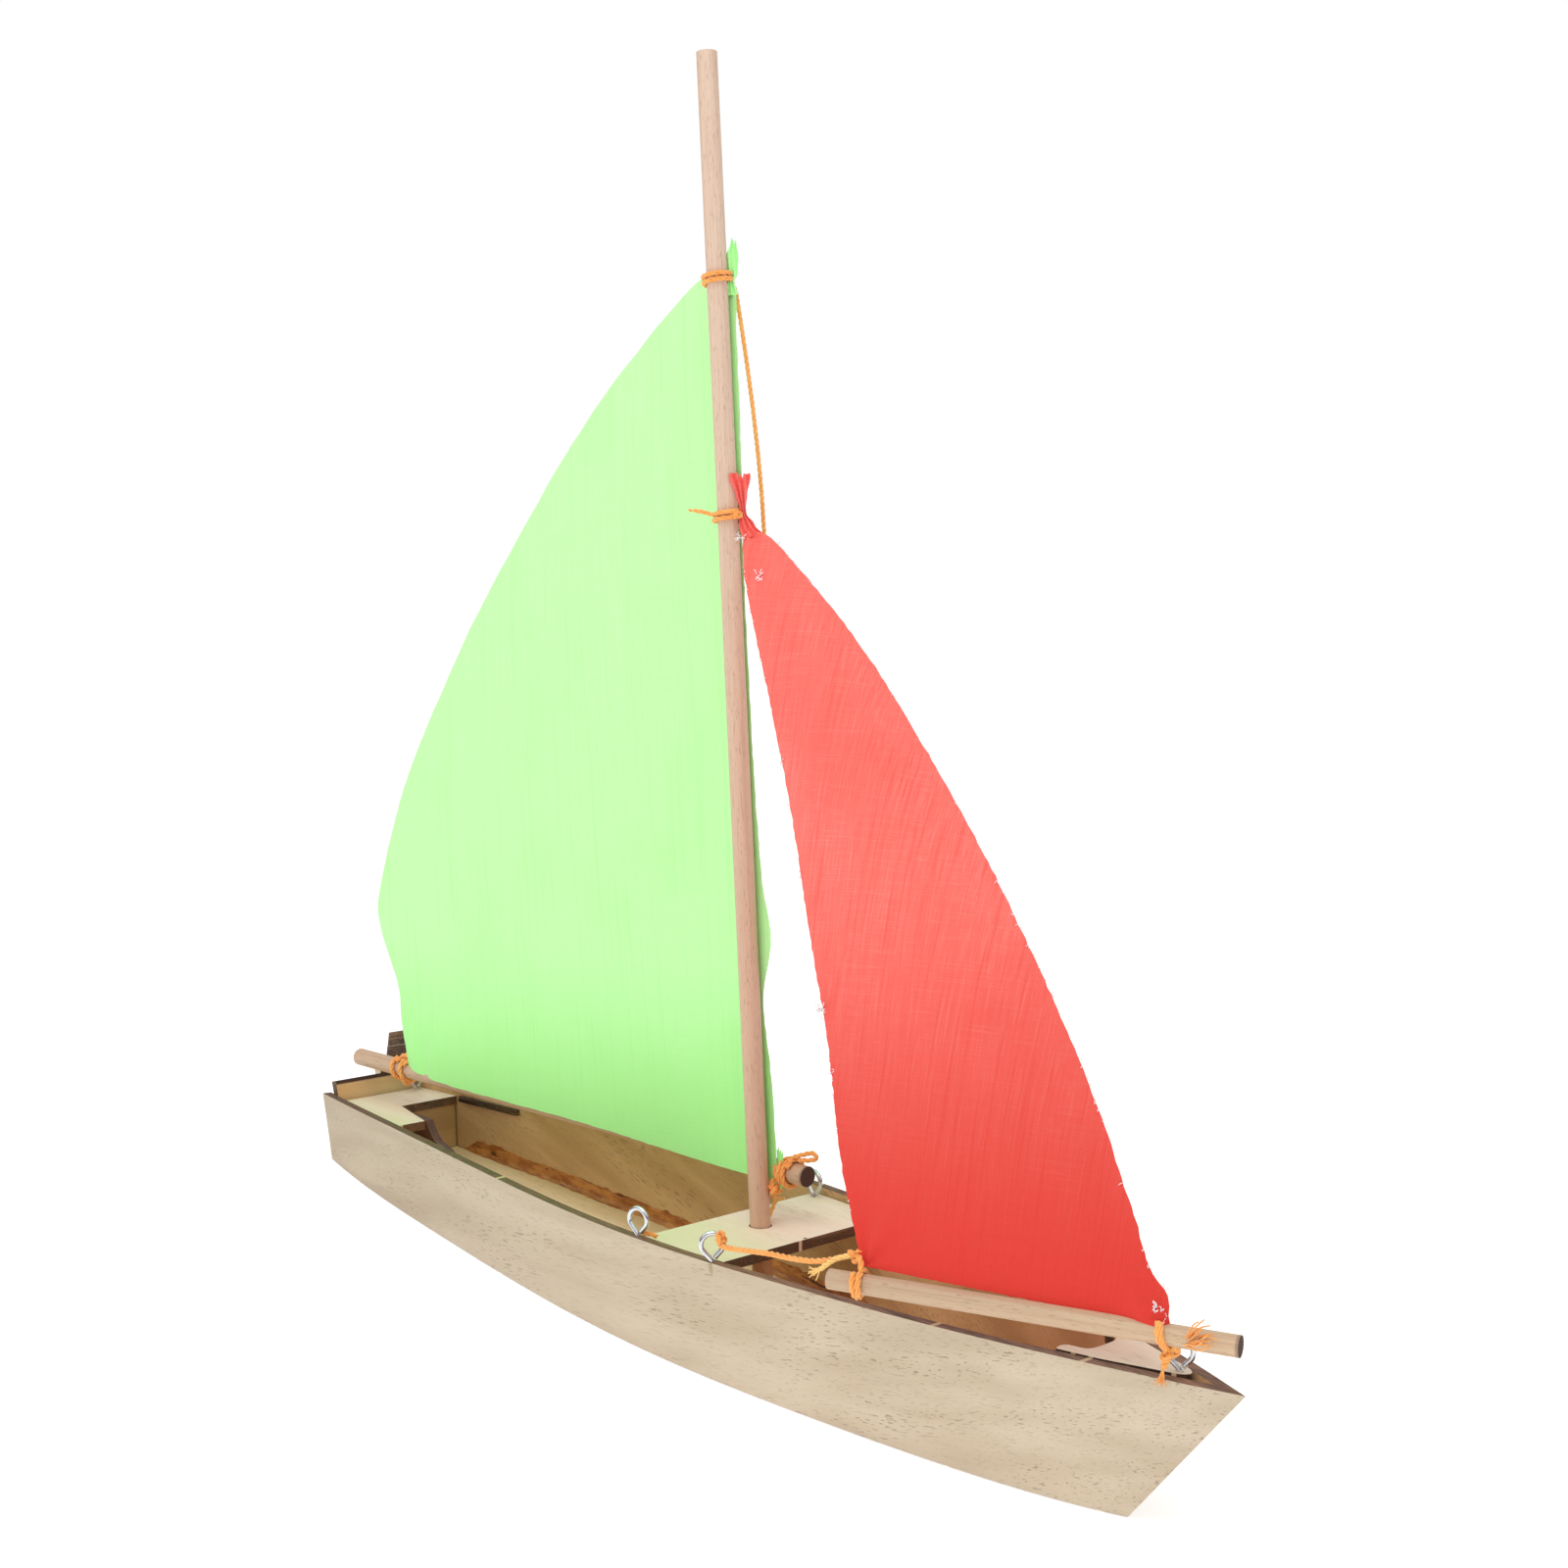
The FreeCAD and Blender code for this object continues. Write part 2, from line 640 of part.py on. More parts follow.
def tube(label, route, alias):
    """A cord as a round tube: straight runs joined by arcs as large as the runs allow."""
    points = [deck_point(*p) for p in route]
    edges = []
    here = points[0]
    for before, corner, after in zip(points, points[1:], points[2:]):
        back = before - corner
        ahead = after - corner
        reach = 0.45 * min(back.Length, ahead.Length)
        back.normalize()
        ahead.normalize()
        half_turn = (math.pi - back.getAngle(ahead)) / 2
        radius = reach / math.tan(half_turn)
        print("%s: bend radius %.1f mm" % (label, radius))
        start = corner + back * reach
        end = corner + ahead * reach
        inward = (back + ahead).normalize()
        bulge = radius / math.cos(half_turn) - radius
        edges.append(Part.LineSegment(here, start).toShape())
        edges.append(Part.Arc(start, corner + inward * bulge, end).toShape())
        here = end
    edges.append(Part.LineSegment(here, points[-1]).toShape())
    path = Part.Wire(edges)
    direction = points[1] - points[0]
    section = Part.Wire(Part.makeCircle(size(alias) / 2, points[0], direction))
    part = doc.addObject("Part::Feature", label)
    part.Label = label
    part.Shape = path.makePipeShell([section], True, False)
    area = math.pi * size(alias) ** 2 / 4
    print("%s: length %.1f mm" % (label, path.Length))
    print("%s: volume over section times length %.4f"
          % (label, part.Shape.Volume / (area * path.Length)))
    return part


def foot_tie():
    """A short end of cord pushed into the mast hole to wedge the mast."""
    start = deck_point(-2.2, 4.9, 0.4)
    end = deck_point(-3.0, 8.6, 5.4)
    return rod("mast_foot_cord", start, end, "cord")


# ---------------------------------------------------------------- rudder

def rudder_placement(turn):
    """Origin on the hinge line by the transom's foot, +Z up the hinge, +X forward.

    The hinge is a little to port of the centre line.
    """
    gap = 3.2
    foot = transom_placement().Base + V(-gap, size("rudder_offset"), 0)
    rake = FreeCAD.Rotation(V(0, 1, 0), -size("transom_rake"))
    swing = FreeCAD.Rotation(V(0, 0, 1), turn)
    return FreeCAD.Placement(foot, rake.multiply(swing))


GUDGEONS = {"rudder_gudgeon_lower": 5.0, "rudder_gudgeon_upper": 17.0}


def gudgeon(label):
    """A small block on the transom with a round nose and the hole for the rudder's pin."""
    nose = 1.7
    face = 3.02
    low = GUDGEONS[label]
    body = new_body(label, rudder_placement(0.0))
    outline = new_sketch(body, label + "_outline", "XY_Plane", low)
    arc = Part.Arc(V(0, nose, 0), V(-nose, 0, 0), V(0, -nose, 0))
    outline.addGeometry(arc, False)
    chain(outline, [[(0, -nose), (face, -nose)], [(face, -nose), (face, nose)],
                    [(face, nose), (0, nose)]])
    pad(body, outline, "gudgeon_height")
    bore = new_sketch(body, label + "_bore", "XY_Plane", low)
    circle(bore, 0, 0, "pin_bore_radius")
    cut_through(body, bore)
    return body


def rudder_blade():
    """The blade behind the transom, notched round the gudgeons and bored for the pin."""
    fore = 1.5
    notch = -2.3
    aft = -11.0
    low = 1.5
    top = size("tiller_rise")
    spare = 0.4
    rise = size("gudgeon_height")
    front = [(fore, low)]
    for start in sorted(GUDGEONS.values()):
        front += [(fore, start - spare), (notch, start - spare)]
        front += [(notch, start + rise + spare), (fore, start + rise + spare)]
    post = -2.2
    shoulder = 22.0
    front += [(fore, top), (post, top), (post, shoulder), (-6.6, shoulder - 1.5)]
    heel = [front[-1], (-9.6, 16.0), (aft, 9.0), (-9.4, 3.6), (-6.5, low)]
    pieces = [[a, b] for a, b in zip(front, front[1:])]
    pieces += [heel, [heel[-1], front[0]]]
    body = plate("rudder_blade", rudder_placement(size("rudder_turn")), "XZ_Plane",
                 -PLY / 2, pieces)
    bore = new_sketch(body, "rudder_blade_bore", "XY_Plane")
    circle(bore, 0, 0, "pin_bore_radius")
    cut_through(body, bore)
    return body


def rudder_pin():
    """The wire that the rudder turns on."""
    place = rudder_placement(size("rudder_turn"))
    low = 3.0
    return rod("rudder_pin", place.multVec(V(0, 0, low)),
               place.multVec(V(0, 0, low + size("pin_length"))), "pin_diameter", "pin_length")


def tiller():
    """The flat arm on top of the blade, reaching forward over the transom."""
    reach = size("tiller_reach")
    knob = size("knob_radius")
    tail = -2.4
    half = 1.8
    nose = [(reach, knob), (reach + knob, 0), (reach, -knob)]
    body = new_body("tiller", rudder_placement(size("rudder_turn")))
    outline = new_sketch(body, "tiller_outline", "XY_Plane", size("tiller_rise") + 0.05)
    arc = Part.Arc(V(*nose[0], 0), V(*nose[1], 0), V(*nose[2], 0))
    outline.addGeometry(arc, False)
    chain(outline, [[nose[2], (tail, -half)], [(tail, -half), (tail, half)],
                    [(tail, half), nose[0]]])
    pad(body, outline, "ply")
    return body


def tiller_knob(label, rise, alias):
    """One tapered round plate of the knob on the tiller's fore end."""
    body = new_body(label, rudder_placement(size("rudder_turn")))
    height = size("tiller_rise") + PLY + 0.1 + rise
    outline = new_sketch(body, label + "_outline", "XY_Plane", height)
    circle(outline, size("tiller_reach"), 0, alias + "_radius")
    pad(body, outline, alias + "_height").setExpression("TaperAngle", "Sizes.knob_taper")
    return body


# ---------------------------------------------------------------- the boat

def build():
    """Make every sub-part and return the ones that are written out."""
    parts = [
        side_panel("side_panel_starboard", -1),
        side_panel("side_panel_port", 1),
        bottom_board(),
        transom(),
        thwart(),
        thwart_cleat("thwart_cleat_starboard", -1),
        thwart_cleat("thwart_cleat_port", 1),
        mast_step(),
        stern_deck(),
        cross_frame("stern_frame", -196.4, 0.05),
        stern_knee(),
        stern_cleat("stern_cleat_starboard", -1, -172.0, 3.0, -PLY - 0.05, "ply"),
        stern_cleat("stern_cleat_port", 1, -158.0, 1.4, 0.6, "strip"),
        fore_deck(),
        cross_frame("fore_frame", 128.9, 0.05),
        stem_block(),
        mast(),
        foot_tie(),
    ]
    parts += [screw_eye(label) for label in EYES]
    parts += [gudgeon(label) for label in GUDGEONS]
    mast_up = on_mast(1.0) - on_mast(0.0)
    boom_run = BOOM_FORE - BOOM_AFT
    jib_run = JIB_FORE - JIB_AFT
    parts += [
        turns("main_head_lashing", on_mast(272.0), V(mast_up), "dowel", 2,
              on_mast(271.2, -1.0, 5.3)),
        turns("jib_head_lashing", on_mast(204.2), V(mast_up), "dowel", 2,
              on_mast(204.0, 4.6, -2.8)),
        tube("shroud", SHROUD, "shroud_cord"),
        tube("jib_sheet", JIB_SHEET, "cord"),
        rod("main_boom", BOOM_AFT, BOOM_FORE, "dowel"),
        mainsail(),
        turns("boom_clew_lashing", along(BOOM_AFT, BOOM_FORE, 29.0), V(boom_run), "dowel", 2),
        turns("boom_tack_lashing", along(BOOM_FORE, BOOM_AFT, 6.8), V(boom_run), "dowel", 3),
        rod("jib_boom", JIB_AFT, JIB_FORE, "jib_dowel"),
        jib(),
        turns("jib_clew_lashing", along(JIB_AFT, JIB_FORE, 9.0), V(jib_run), "jib_dowel", 1,
              deck_point(78.2, -34.2, 17.3)),
        turns("jib_tack_lashing", along(JIB_FORE, JIB_AFT, 17.0), V(jib_run), "jib_dowel", 2),
        rudder_blade(),
        rudder_pin(),
        tiller(),
        tiller_knob("tiller_knob_lower", 0, "knob"),
        tiller_knob("tiller_knob_upper", size("knob_height") + 0.05, "knob_top"),
    ]
    return parts


def check(parts):
    """Stop if any object failed or any sub-part has a bad shape."""
    for item in doc.Objects:
        if "Invalid" in item.State or "Error" in item.State:
            raise RuntimeError("%s: %s" % (item.Label, item.State))
    for part in parts:
        if part.Shape.isNull() or not part.Shape.isValid() or not part.Shape.Solids:
            raise RuntimeError("%s has no valid solid" % part.Label)


def write(parts):
    os.makedirs("parts", exist_ok=True)
    for part in parts:
        part.Shape.exportStep("parts/%s.step" % part.Label)
        print("%-26s %9.1f mm3" % (part.Label, part.Shape.Volume))


boat = build()
doc.recompute()
check(boat)
write(boat)
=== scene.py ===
"""Looks for the toy sailing boat: wood, cloth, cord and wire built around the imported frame."""
import math
import random

import bpy
from mathutils import Matrix, Vector, noise
from mathutils.bvhtree import BVHTree


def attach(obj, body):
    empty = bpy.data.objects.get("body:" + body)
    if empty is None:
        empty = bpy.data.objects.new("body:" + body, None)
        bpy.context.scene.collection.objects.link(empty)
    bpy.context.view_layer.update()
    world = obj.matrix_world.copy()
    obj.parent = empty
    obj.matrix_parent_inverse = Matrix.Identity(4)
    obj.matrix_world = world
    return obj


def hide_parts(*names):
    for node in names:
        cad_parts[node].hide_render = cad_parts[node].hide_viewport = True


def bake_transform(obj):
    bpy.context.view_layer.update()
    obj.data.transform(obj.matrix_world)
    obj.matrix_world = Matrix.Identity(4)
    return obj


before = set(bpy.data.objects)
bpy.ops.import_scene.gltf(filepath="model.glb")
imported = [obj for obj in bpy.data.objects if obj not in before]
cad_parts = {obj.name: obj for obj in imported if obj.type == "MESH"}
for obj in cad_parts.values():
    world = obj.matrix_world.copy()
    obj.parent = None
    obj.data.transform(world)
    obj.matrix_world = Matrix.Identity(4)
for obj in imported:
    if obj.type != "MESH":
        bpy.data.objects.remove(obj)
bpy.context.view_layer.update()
rng = random.Random(7)
MM = 0.001

# ------------------------ the boat's own frames

# lengths in millimetres
DECK_HEIGHT = 32.94
DECK_SLOPE = math.radians(3.32)
MAST_RAKE = math.radians(7.45)
MAST_LEAN = math.radians(0.45)
TRANSOM_RAKE = math.radians(17.0)
MAST_FOOT, MAST_TOP = -29.6, 335.7
MAST_R = 3.0
JIB_BOOM_R = 2.6
BOARD = 3.0
CORD = 1.6


def tipped(x, y, z, angle, height=DECK_HEIGHT):
    """A point in millimetres of a frame tipped bow-up, in the row frame."""
    c, s = math.cos(angle), math.sin(angle)
    return Vector((x * c - z * s, y, x * s + z * c + height)) * MM


def deck(x, y, z):
    """A point from where the mast meets the thwart's top, in the deck's slope."""
    return tipped(x, y, z, DECK_SLOPE)


def on_mast(rise, forward=0.0, port=0.0):
    """A point beside the mast, which rakes aft and leans a little to port."""
    p = tipped(forward, port, rise, MAST_RAKE, 0.0)
    c, s = math.cos(MAST_LEAN), math.sin(MAST_LEAN)
    return Vector((p.x, p.y * c + p.z * s, p.z * c - p.y * s + DECK_HEIGHT * MM))


def placed(name, data):
    """A new object in the scene."""
    made = bpy.data.objects.new(name, data)
    bpy.context.collection.objects.link(made)
    return made


X, Y, Z = Vector((1, 0, 0)), Vector((0, 1, 0)), Vector((0, 0, 1))
MAST_UP = (on_mast(1) - on_mast(0)).normalized()
DECK_UP = (deck(0, 0, 1) - deck(0, 0, 0)).normalized()
DECK_FORE = (deck(1, 0, 0) - deck(0, 0, 0)).normalized()
BOOM_AFT, BOOM_FORE = deck(-218.7, -4.65, 13.88), deck(12.1, 7.55, 15.5)
JIB_AFT, JIB_FORE = deck(71.6, -38.5, 10.7), deck(168.7, -0.05, 10.4)
BOOM_RUN = (BOOM_FORE - BOOM_AFT).normalized()
JIB_RUN = (JIB_FORE - JIB_AFT).normalized()

# ------------------------ camera

AZIMUTH, ELEVATION, ROLL = math.radians(48.53), math.radians(7.76), math.radians(2.01)
EYE_POINT = Vector((0.4395, -0.3853, 0.2415))
LENS, SENSOR = 48.26, 36.0


def make_camera():
    """The camera, which looks back along its own axis from the eye point."""
    back = Vector((math.sin(AZIMUTH) * math.cos(ELEVATION),
                   -math.cos(AZIMUTH) * math.cos(ELEVATION), math.sin(ELEVATION)))
    level = Vector((math.cos(AZIMUTH), math.sin(AZIMUTH), 0))
    right = level * math.cos(ROLL) + back.cross(level) * math.sin(ROLL)
    up = back.cross(right)
    camera = placed("camera", bpy.data.cameras.new("camera"))
    camera.data.lens, camera.data.sensor_width = LENS, SENSOR
    camera.data.clip_start, camera.data.clip_end = 0.01, 50.0
    camera.matrix_world = Matrix.Translation(EYE_POINT) @ Matrix((right, up, back)).transposed().to_4x4()
    bpy.context.scene.camera = camera


make_camera()

# ------------------------ node helpers


def rgb(red, green, blue):
    """A display colour, 0 to 255, as linear light."""
    linear = []
    for value in (red, green, blue):
        v = value / 255
        linear.append(v / 12.92 if v <= 0.04045 else ((v + 0.055) / 1.055) ** 2.4)
    return (*linear, 1.0)


WHITE = (1, 1, 1, 1)


class Tree:
    """A node tree written as expressions: a new material's, unless another owner is given."""

    def __init__(self, name, owner=None):
        self.owner = owner or bpy.data.materials.new(name)
        self.owner.use_nodes = True
        self.nodes, self.links = self.owner.node_tree.nodes, self.owner.node_tree.links
        self.nodes.clear()
        coords = self.nodes.new("ShaderNodeTexCoord").outputs
        # the point in millimetres, so every scale below is per millimetre
        self.point = self.maths("MULTIPLY", coords["Object"], (1000, 1000, 1000), True)
        self.normal, self.direction = coords["Normal"], coords["Generated"]

    def plug(self, value, socket):
        if isinstance(value, bpy.types.NodeSocket):
            self.links.new(value, socket)
        elif value is not None:
            socket.default_value = value

    def maths(self, kind, a, b=None, vector=False):
        node = self.nodes.new("ShaderNodeVectorMath" if vector else "ShaderNodeMath")
        node.operation = kind
        self.plug(a, node.inputs[0])
        self.plug(b, node.inputs[1])
        scalar = not vector or kind in ("DOT_PRODUCT", "LENGTH")
        return node.outputs["Value" if scalar else "Vector"]

    def dot(self, a, direction):
        return self.maths("DOT_PRODUCT", a, tuple(direction), True)

    def add(self, a, b):
        return self.maths("ADD", a, b)

    def mul(self, a, b):
        return self.maths("MULTIPLY", a, b)

    def step(self, value, low, high):
        """0 below low and 1 above high, or the other way round when low is the larger."""
        node = self.nodes.new("ShaderNodeMapRange")
        node.interpolation_type = "SMOOTHSTEP"
        flip = low > high
        self.plug(value, node.inputs[0])
        node.inputs[1].default_value = min(low, high)
        node.inputs[2].default_value = max(low, high)
        node.inputs[3].default_value = 1.0 if flip else 0.0
        node.inputs[4].default_value = 0.0 if flip else 1.0
        return node.outputs[0]

    def band(self, value, centre, half, soft):
        """1 within half of centre."""
        away = self.maths("ABSOLUTE", self.add(value, -centre))
        return self.step(away, half + soft, half)

    def mix(self, amount, a, b):
        node = self.nodes.new("ShaderNodeMix")
        node.data_type = "RGBA"
        self.plug(amount, node.inputs[0])
        self.plug(a, node.inputs[6])
        self.plug(b, node.inputs[7])
        return node.outputs[2]

    def axes(self, along, across, third=None):
        """The point measured along three directions, as a vector."""
        node = self.nodes.new("ShaderNodeCombineXYZ")
        third = Vector(along).cross(Vector(across)) if third is None else third
        for index, direction in enumerate((along, across, third)):
            self.plug(self.dot(self.point, direction), node.inputs[index])
        return node.outputs[0]

    def noise(self, where, scale, detail=2.0, rough=0.5):
        """Noise with its own scale, per millimetre, along each axis of where."""
        node = self.nodes.new("ShaderNodeTexNoise")
        self.plug(self.maths("MULTIPLY", where, scale, True), node.inputs["Vector"])
        node.inputs["Scale"].default_value = 1.0
        node.inputs["Detail"].default_value = detail
        node.inputs["Roughness"].default_value = rough
        return node.outputs[0]

    def finish(self, colour, roughness, height=None, depth=0.0001, strength=1.0, **sockets):
        """Close the tree with a Principled shader and return the material."""
        shader = self.nodes.new("ShaderNodeBsdfPrincipled")
        self.plug(colour, shader.inputs["Base Color"])
        self.plug(roughness, shader.inputs["Roughness"])
        for name, value in sockets.items():
            self.plug(value, shader.inputs[name.replace("_", " ")])
        if height is not None:
            bump = self.nodes.new("ShaderNodeBump")
            bump.inputs["Distance"].default_value = depth
            bump.inputs["Strength"].default_value = strength
            self.plug(height, bump.inputs["Height"])
            self.plug(bump.outputs[0], shader.inputs["Normal"])
        self.shader = shader
        self.output(shader.outputs[0])
        return self.owner

    def output(self, socket):
        out = self.nodes.new("ShaderNodeOutputMaterial")
        self.plug(socket, out.inputs[0])

    def shader_mix(self, amount, a, b):
        node = self.nodes.new("ShaderNodeMixShader")
        self.plug(amount, node.inputs[0])
        self.plug(a, node.inputs[1])
        self.plug(b, node.inputs[2])
        return node.outputs[0]


# ------------------------ wood

CHAR = rgb(52, 32, 24)
CHAR_WARM, CHAR_OLIVE = rgb(112, 76, 52), rgb(106, 84, 54)
CHAR_FORE_WARM, CHAR_FORE_OLIVE = rgb(158, 120, 92), rgb(130, 94, 70)
PORE = rgb(132, 106, 82)
BRIDGE = rgb(214, 190, 150)


def grained(t, where, light, dark, dashes=0.6):
    """Open-pored wood along where's x: its colour with short dark pores, and its relief."""
    bands = t.noise(where, (0.01, 0.1, 0.1), 2.0, 0.5)
    fibres = t.noise(where, (0.04, 2.8, 2.8), 3.0, 0.65)
    colour = t.mix(t.step(bands, 0.3, 0.7), light, dark)
    colour = t.mix(t.mul(t.step(fibres, 0.4, 0.72), 0.3), colour, dark)
    pores = t.step(t.noise(where, (0.2, 2.3, 2.3), 1.0, 0.4), 0.6, 0.7)
    patches = t.step(t.noise(where, (0.02, 0.09, 0.09), 2.0, 0.5), 0.42, 0.62)
    amount = t.mul(pores, t.add(t.mul(patches, 0.7), 0.3))
    return t.mix(t.mul(amount, dashes), colour, PORE), t.add(fibres, t.mul(pores, -0.8))


def charred(t, along, warm=CHAR_WARM, cool=CHAR_OLIVE, dark=0.5):
    """A laser-cut ply edge: scorched, streaked along the cut."""
    where = t.axes(along, Vector((0, 0, 1)).cross(Vector(along)).normalized())
    broad = t.noise(where, (0.05, 0.3, 0.3), 3.0, 0.6)
    streak = t.noise(where, (0.15, 2.2, 2.2), 3.0, 0.6)
    colour = t.mix(t.step(broad, 0.38, 0.62), warm, cool)
    return t.mix(t.mul(t.step(streak, 0.62, 0.36), dark), colour, CHAR)


SIDE_GRAIN = 0.13          # the outer grain's climb to the bow, in radians
SIDE_BRIDGES = (-85.0, 92.5, 132.0)
DRIP_X, DRIP_TOP = 20.3, 34.0


def hull_side(name, side):
    """A side panel: pale outside with slanting pores, browner inside, scorched edges."""
    t = Tree(name)
    run = Vector((math.cos(SIDE_GRAIN), 0, math.sin(SIDE_GRAIN)))
    where = t.axes(run, (-run.z, 0, run.x), (0, 1, 0))
    x, z = t.dot(t.point, X), t.dot(t.point, Z)
    bow = t.step(x, -200.0, 90.0)
    outer, pores = grained(t, where, t.mix(bow, rgb(194, 178, 154), rgb(210, 194, 170)),
                           t.mix(bow, rgb(178, 160, 136), rgb(194, 176, 150)))
    inside = t.axes((0.96, 0, -0.28), (0.28, 0, 0.96), (0, 1, 0))
    inner, _ = grained(t, inside, rgb(226, 188, 140), rgb(198, 158, 110))
    # a drip of glue under the fore screw eye
    drip = t.mul(t.band(x, DRIP_X, 0.3, 0.7), t.step(z, DRIP_TOP - 3.0, DRIP_TOP))
    outer = t.mix(t.mul(drip, 0.55), outer, rgb(148, 126, 72))
    facing = t.mul(t.dot(t.normal, Y), float(side))
    colour = t.mix(t.step(facing, -0.2, 0.2), inner, outer)
    edge = t.step(t.maths("ABSOLUTE", facing), 0.5, 0.35)
    fore = t.step(x, -120.0, 60.0)
    burnt = charred(t, X, t.mix(fore, CHAR_WARM, CHAR_FORE_WARM),
                    t.mix(fore, CHAR_OLIVE, CHAR_FORE_OLIVE), 0.6)
    for place in SIDE_BRIDGES:
        burnt = t.mix(t.band(x, place, 0.5, 0.3), burnt, BRIDGE)
    colour = t.mix(edge, colour, burnt)
    rough = t.add(t.mul(pores, 0.12), 0.56)
    return t.finish(colour, rough, pores, 0.00012, 0.5)


def ply(name, up, along, light, dark, *, tint=None, bridges=(), edge_dark=0.6, warm=CHAR_WARM,
        marks=(), soot=None):
    """A flat ply piece with clean faces along up and scorched edges.

    tint colours the starboard side (on the thwart and stern deck, painted light: the mainsail's
    green reflection), bridges are pale spots on the edges (a direction and a place along it),
    marks are scorched dots, and soot is the direction and place above which the face is dark.
    """
    t = Tree(name)
    along, up = Vector(along), Vector(up)
    side = up.cross(along).normalized()
    where = t.axes(along, side, up)
    face, pores = grained(t, where, light, dark, 0.35)
    # on the thwart and stern deck the tint is painted light: the mainsail's green reflection
    if tint:
        patch = t.add(t.mul(t.noise(where, (0.03, 0.05, 0.05), 2.0), 14.0), t.dot(t.point, Y))
        face = t.mix(t.mul(t.step(patch, 16.0, -18.0), 0.85), face, tint)
    for spot in marks:
        away = t.maths("LENGTH", t.maths("SUBTRACT", t.point, tuple(spot / MM), True), None, True)
        face = t.mix(t.step(away, 0.7, 0.4), face, rgb(70, 44, 34))
    if soot:
        direction, place = soot
        face = t.mix(t.step(t.dot(t.point, direction), place - 0.3, place + 0.3), face, rgb(70, 46, 36))
    burnt = charred(t, along, warm, CHAR_OLIVE, edge_dark)
    core = t.noise(t.axes(along, up), (0.03, 1.2, 0.03), 1.0)
    burnt = t.mix(t.mul(t.step(core, 0.55, 0.66), 0.5), burnt, rgb(150, 112, 80))
    for direction, place in bridges:
        burnt = t.mix(t.band(t.dot(t.point, direction), place, 0.45, 0.25), burnt, rgb(222, 200, 168))
    flat = t.step(t.maths("ABSOLUTE", t.dot(t.normal, up)), 0.6, 0.8)
    colour = t.mix(flat, burnt, face)
    return t.finish(colour, t.add(t.mul(pores, 0.1), 0.55), pores, 0.00008, 0.4)


def dowel(name, start, end, light, dark, scorched_end=True):
    """A turned stick: fine fibres along it, a black cut at one end and a pale one at the other."""
    t = Tree(name)
    axis = (end - start).normalized()
    side = axis.orthogonal().normalized()
    where = t.axes(axis, side)
    rise = t.dot(t.point, axis)
    low, high = start.dot(axis) / MM, end.dot(axis) / MM
    base = t.mix(t.step(rise, low, high), dark, light)
    broad = t.noise(where, (0.01, 0.5, 0.5), 3.0, 0.6)
    fibre = t.noise(where, (0.06, 3.4, 3.4), 3.0, 0.7)
    base = t.mix(t.mul(t.step(broad, 0.45, 0.72), 0.3), base, rgb(178, 134, 104))
    base = t.mix(t.mul(t.step(fibre, 0.48, 0.74), 0.4), base, rgb(160, 118, 90))
    fleck = t.step(t.noise(where, (0.35, 3.0, 3.0), 1.0), 0.63, 0.7)
    base = t.mix(t.mul(fleck, 0.4), base, rgb(140, 98, 74))
    cut = t.step(t.dot(t.normal, axis), 0.6, 0.8)
    rings = t.noise(t.axes(side, axis.cross(side), axis), (0.7, 0.7, 0.7), 3.0)
    inner, outer = (rgb(14, 11, 11), rgb(34, 27, 25)) if scorched_end \
        else (rgb(206, 176, 142), rgb(230, 206, 176))
    base = t.mix(cut, base, t.mix(rings, inner, outer))
    near = t.mul(t.band(rise, high, 0.35, 0.7), 0.55 if scorched_end else 0.0)
    base = t.mix(near, base, rgb(98, 66, 48))
    rough = t.add(t.mul(cut, 0.4), 0.52)
    return t.finish(base, rough, fibre, 0.00006, 0.5)


# ------------------------ cloth, cord, wire, glue


def cloth(name, warp, weft, base, light, deep, solid, foot):
    """Thin woven cloth that lets light through, streaked along its threads.

    light and deep are a colour and its amount, solid is the share of light that the gaps stop,
    and foot is a direction, two heights, a colour and its amount: painted shade, the cloth darker towards the
    foot.
    """
    t = Tree(name)
    light, light_amount = light
    deep, deep_amount = deep
    rising, foot_low, foot_high, foot_shade_colour, foot_shade_amount = foot
    where = t.axes(warp, weft)
    warps = t.noise(where, (0.05, 3.4, 0.4), 3.0, 0.75)
    wefts = t.noise(where, (3.4, 0.05, 0.4), 3.0, 0.75)
    slubs = t.noise(where, (0.012, 0.9, 0.2), 2.0, 0.6)
    cloud = t.noise(where, (0.02, 0.02, 0.02), 2.0, 0.5)
    colour = t.mix(t.mul(t.step(warps, 0.46, 0.72), light_amount), base, light)
    colour = t.mix(t.mul(t.step(wefts, 0.5, 0.74), light_amount * 0.8), colour, light)
    colour = t.mix(t.mul(t.step(slubs, 0.52, 0.7), deep_amount), colour, deep)
    colour = t.mix(t.mul(t.step(cloud, 0.5, 0.75), deep_amount * 0.6), colour, deep)
    # painted shade: the cloth darker towards the foot
    foot_shade = t.step(t.dot(t.point, rising), foot_high, foot_low)
    colour = t.mix(t.mul(foot_shade, foot_shade_amount), colour, foot_shade_colour)
    weave = t.add(warps, wefts)
    material = t.finish(colour, 0.85, weave, 0.00015, 0.6, Sheen_Weight=0.15)
    through = t.nodes.new("ShaderNodeBsdfTranslucent")
    t.plug(colour, through.inputs[0])
    clear = t.nodes.new("ShaderNodeBsdfTransparent")
    both = t.shader_mix(0.42, t.shader.outputs[0], through.outputs[0])
    gaps = t.add(t.mul(t.step(weave, 0.9, 1.15), 1 - solid), solid)
    t.output(t.shader_mix(gaps, clear.outputs[0], both))
    return material


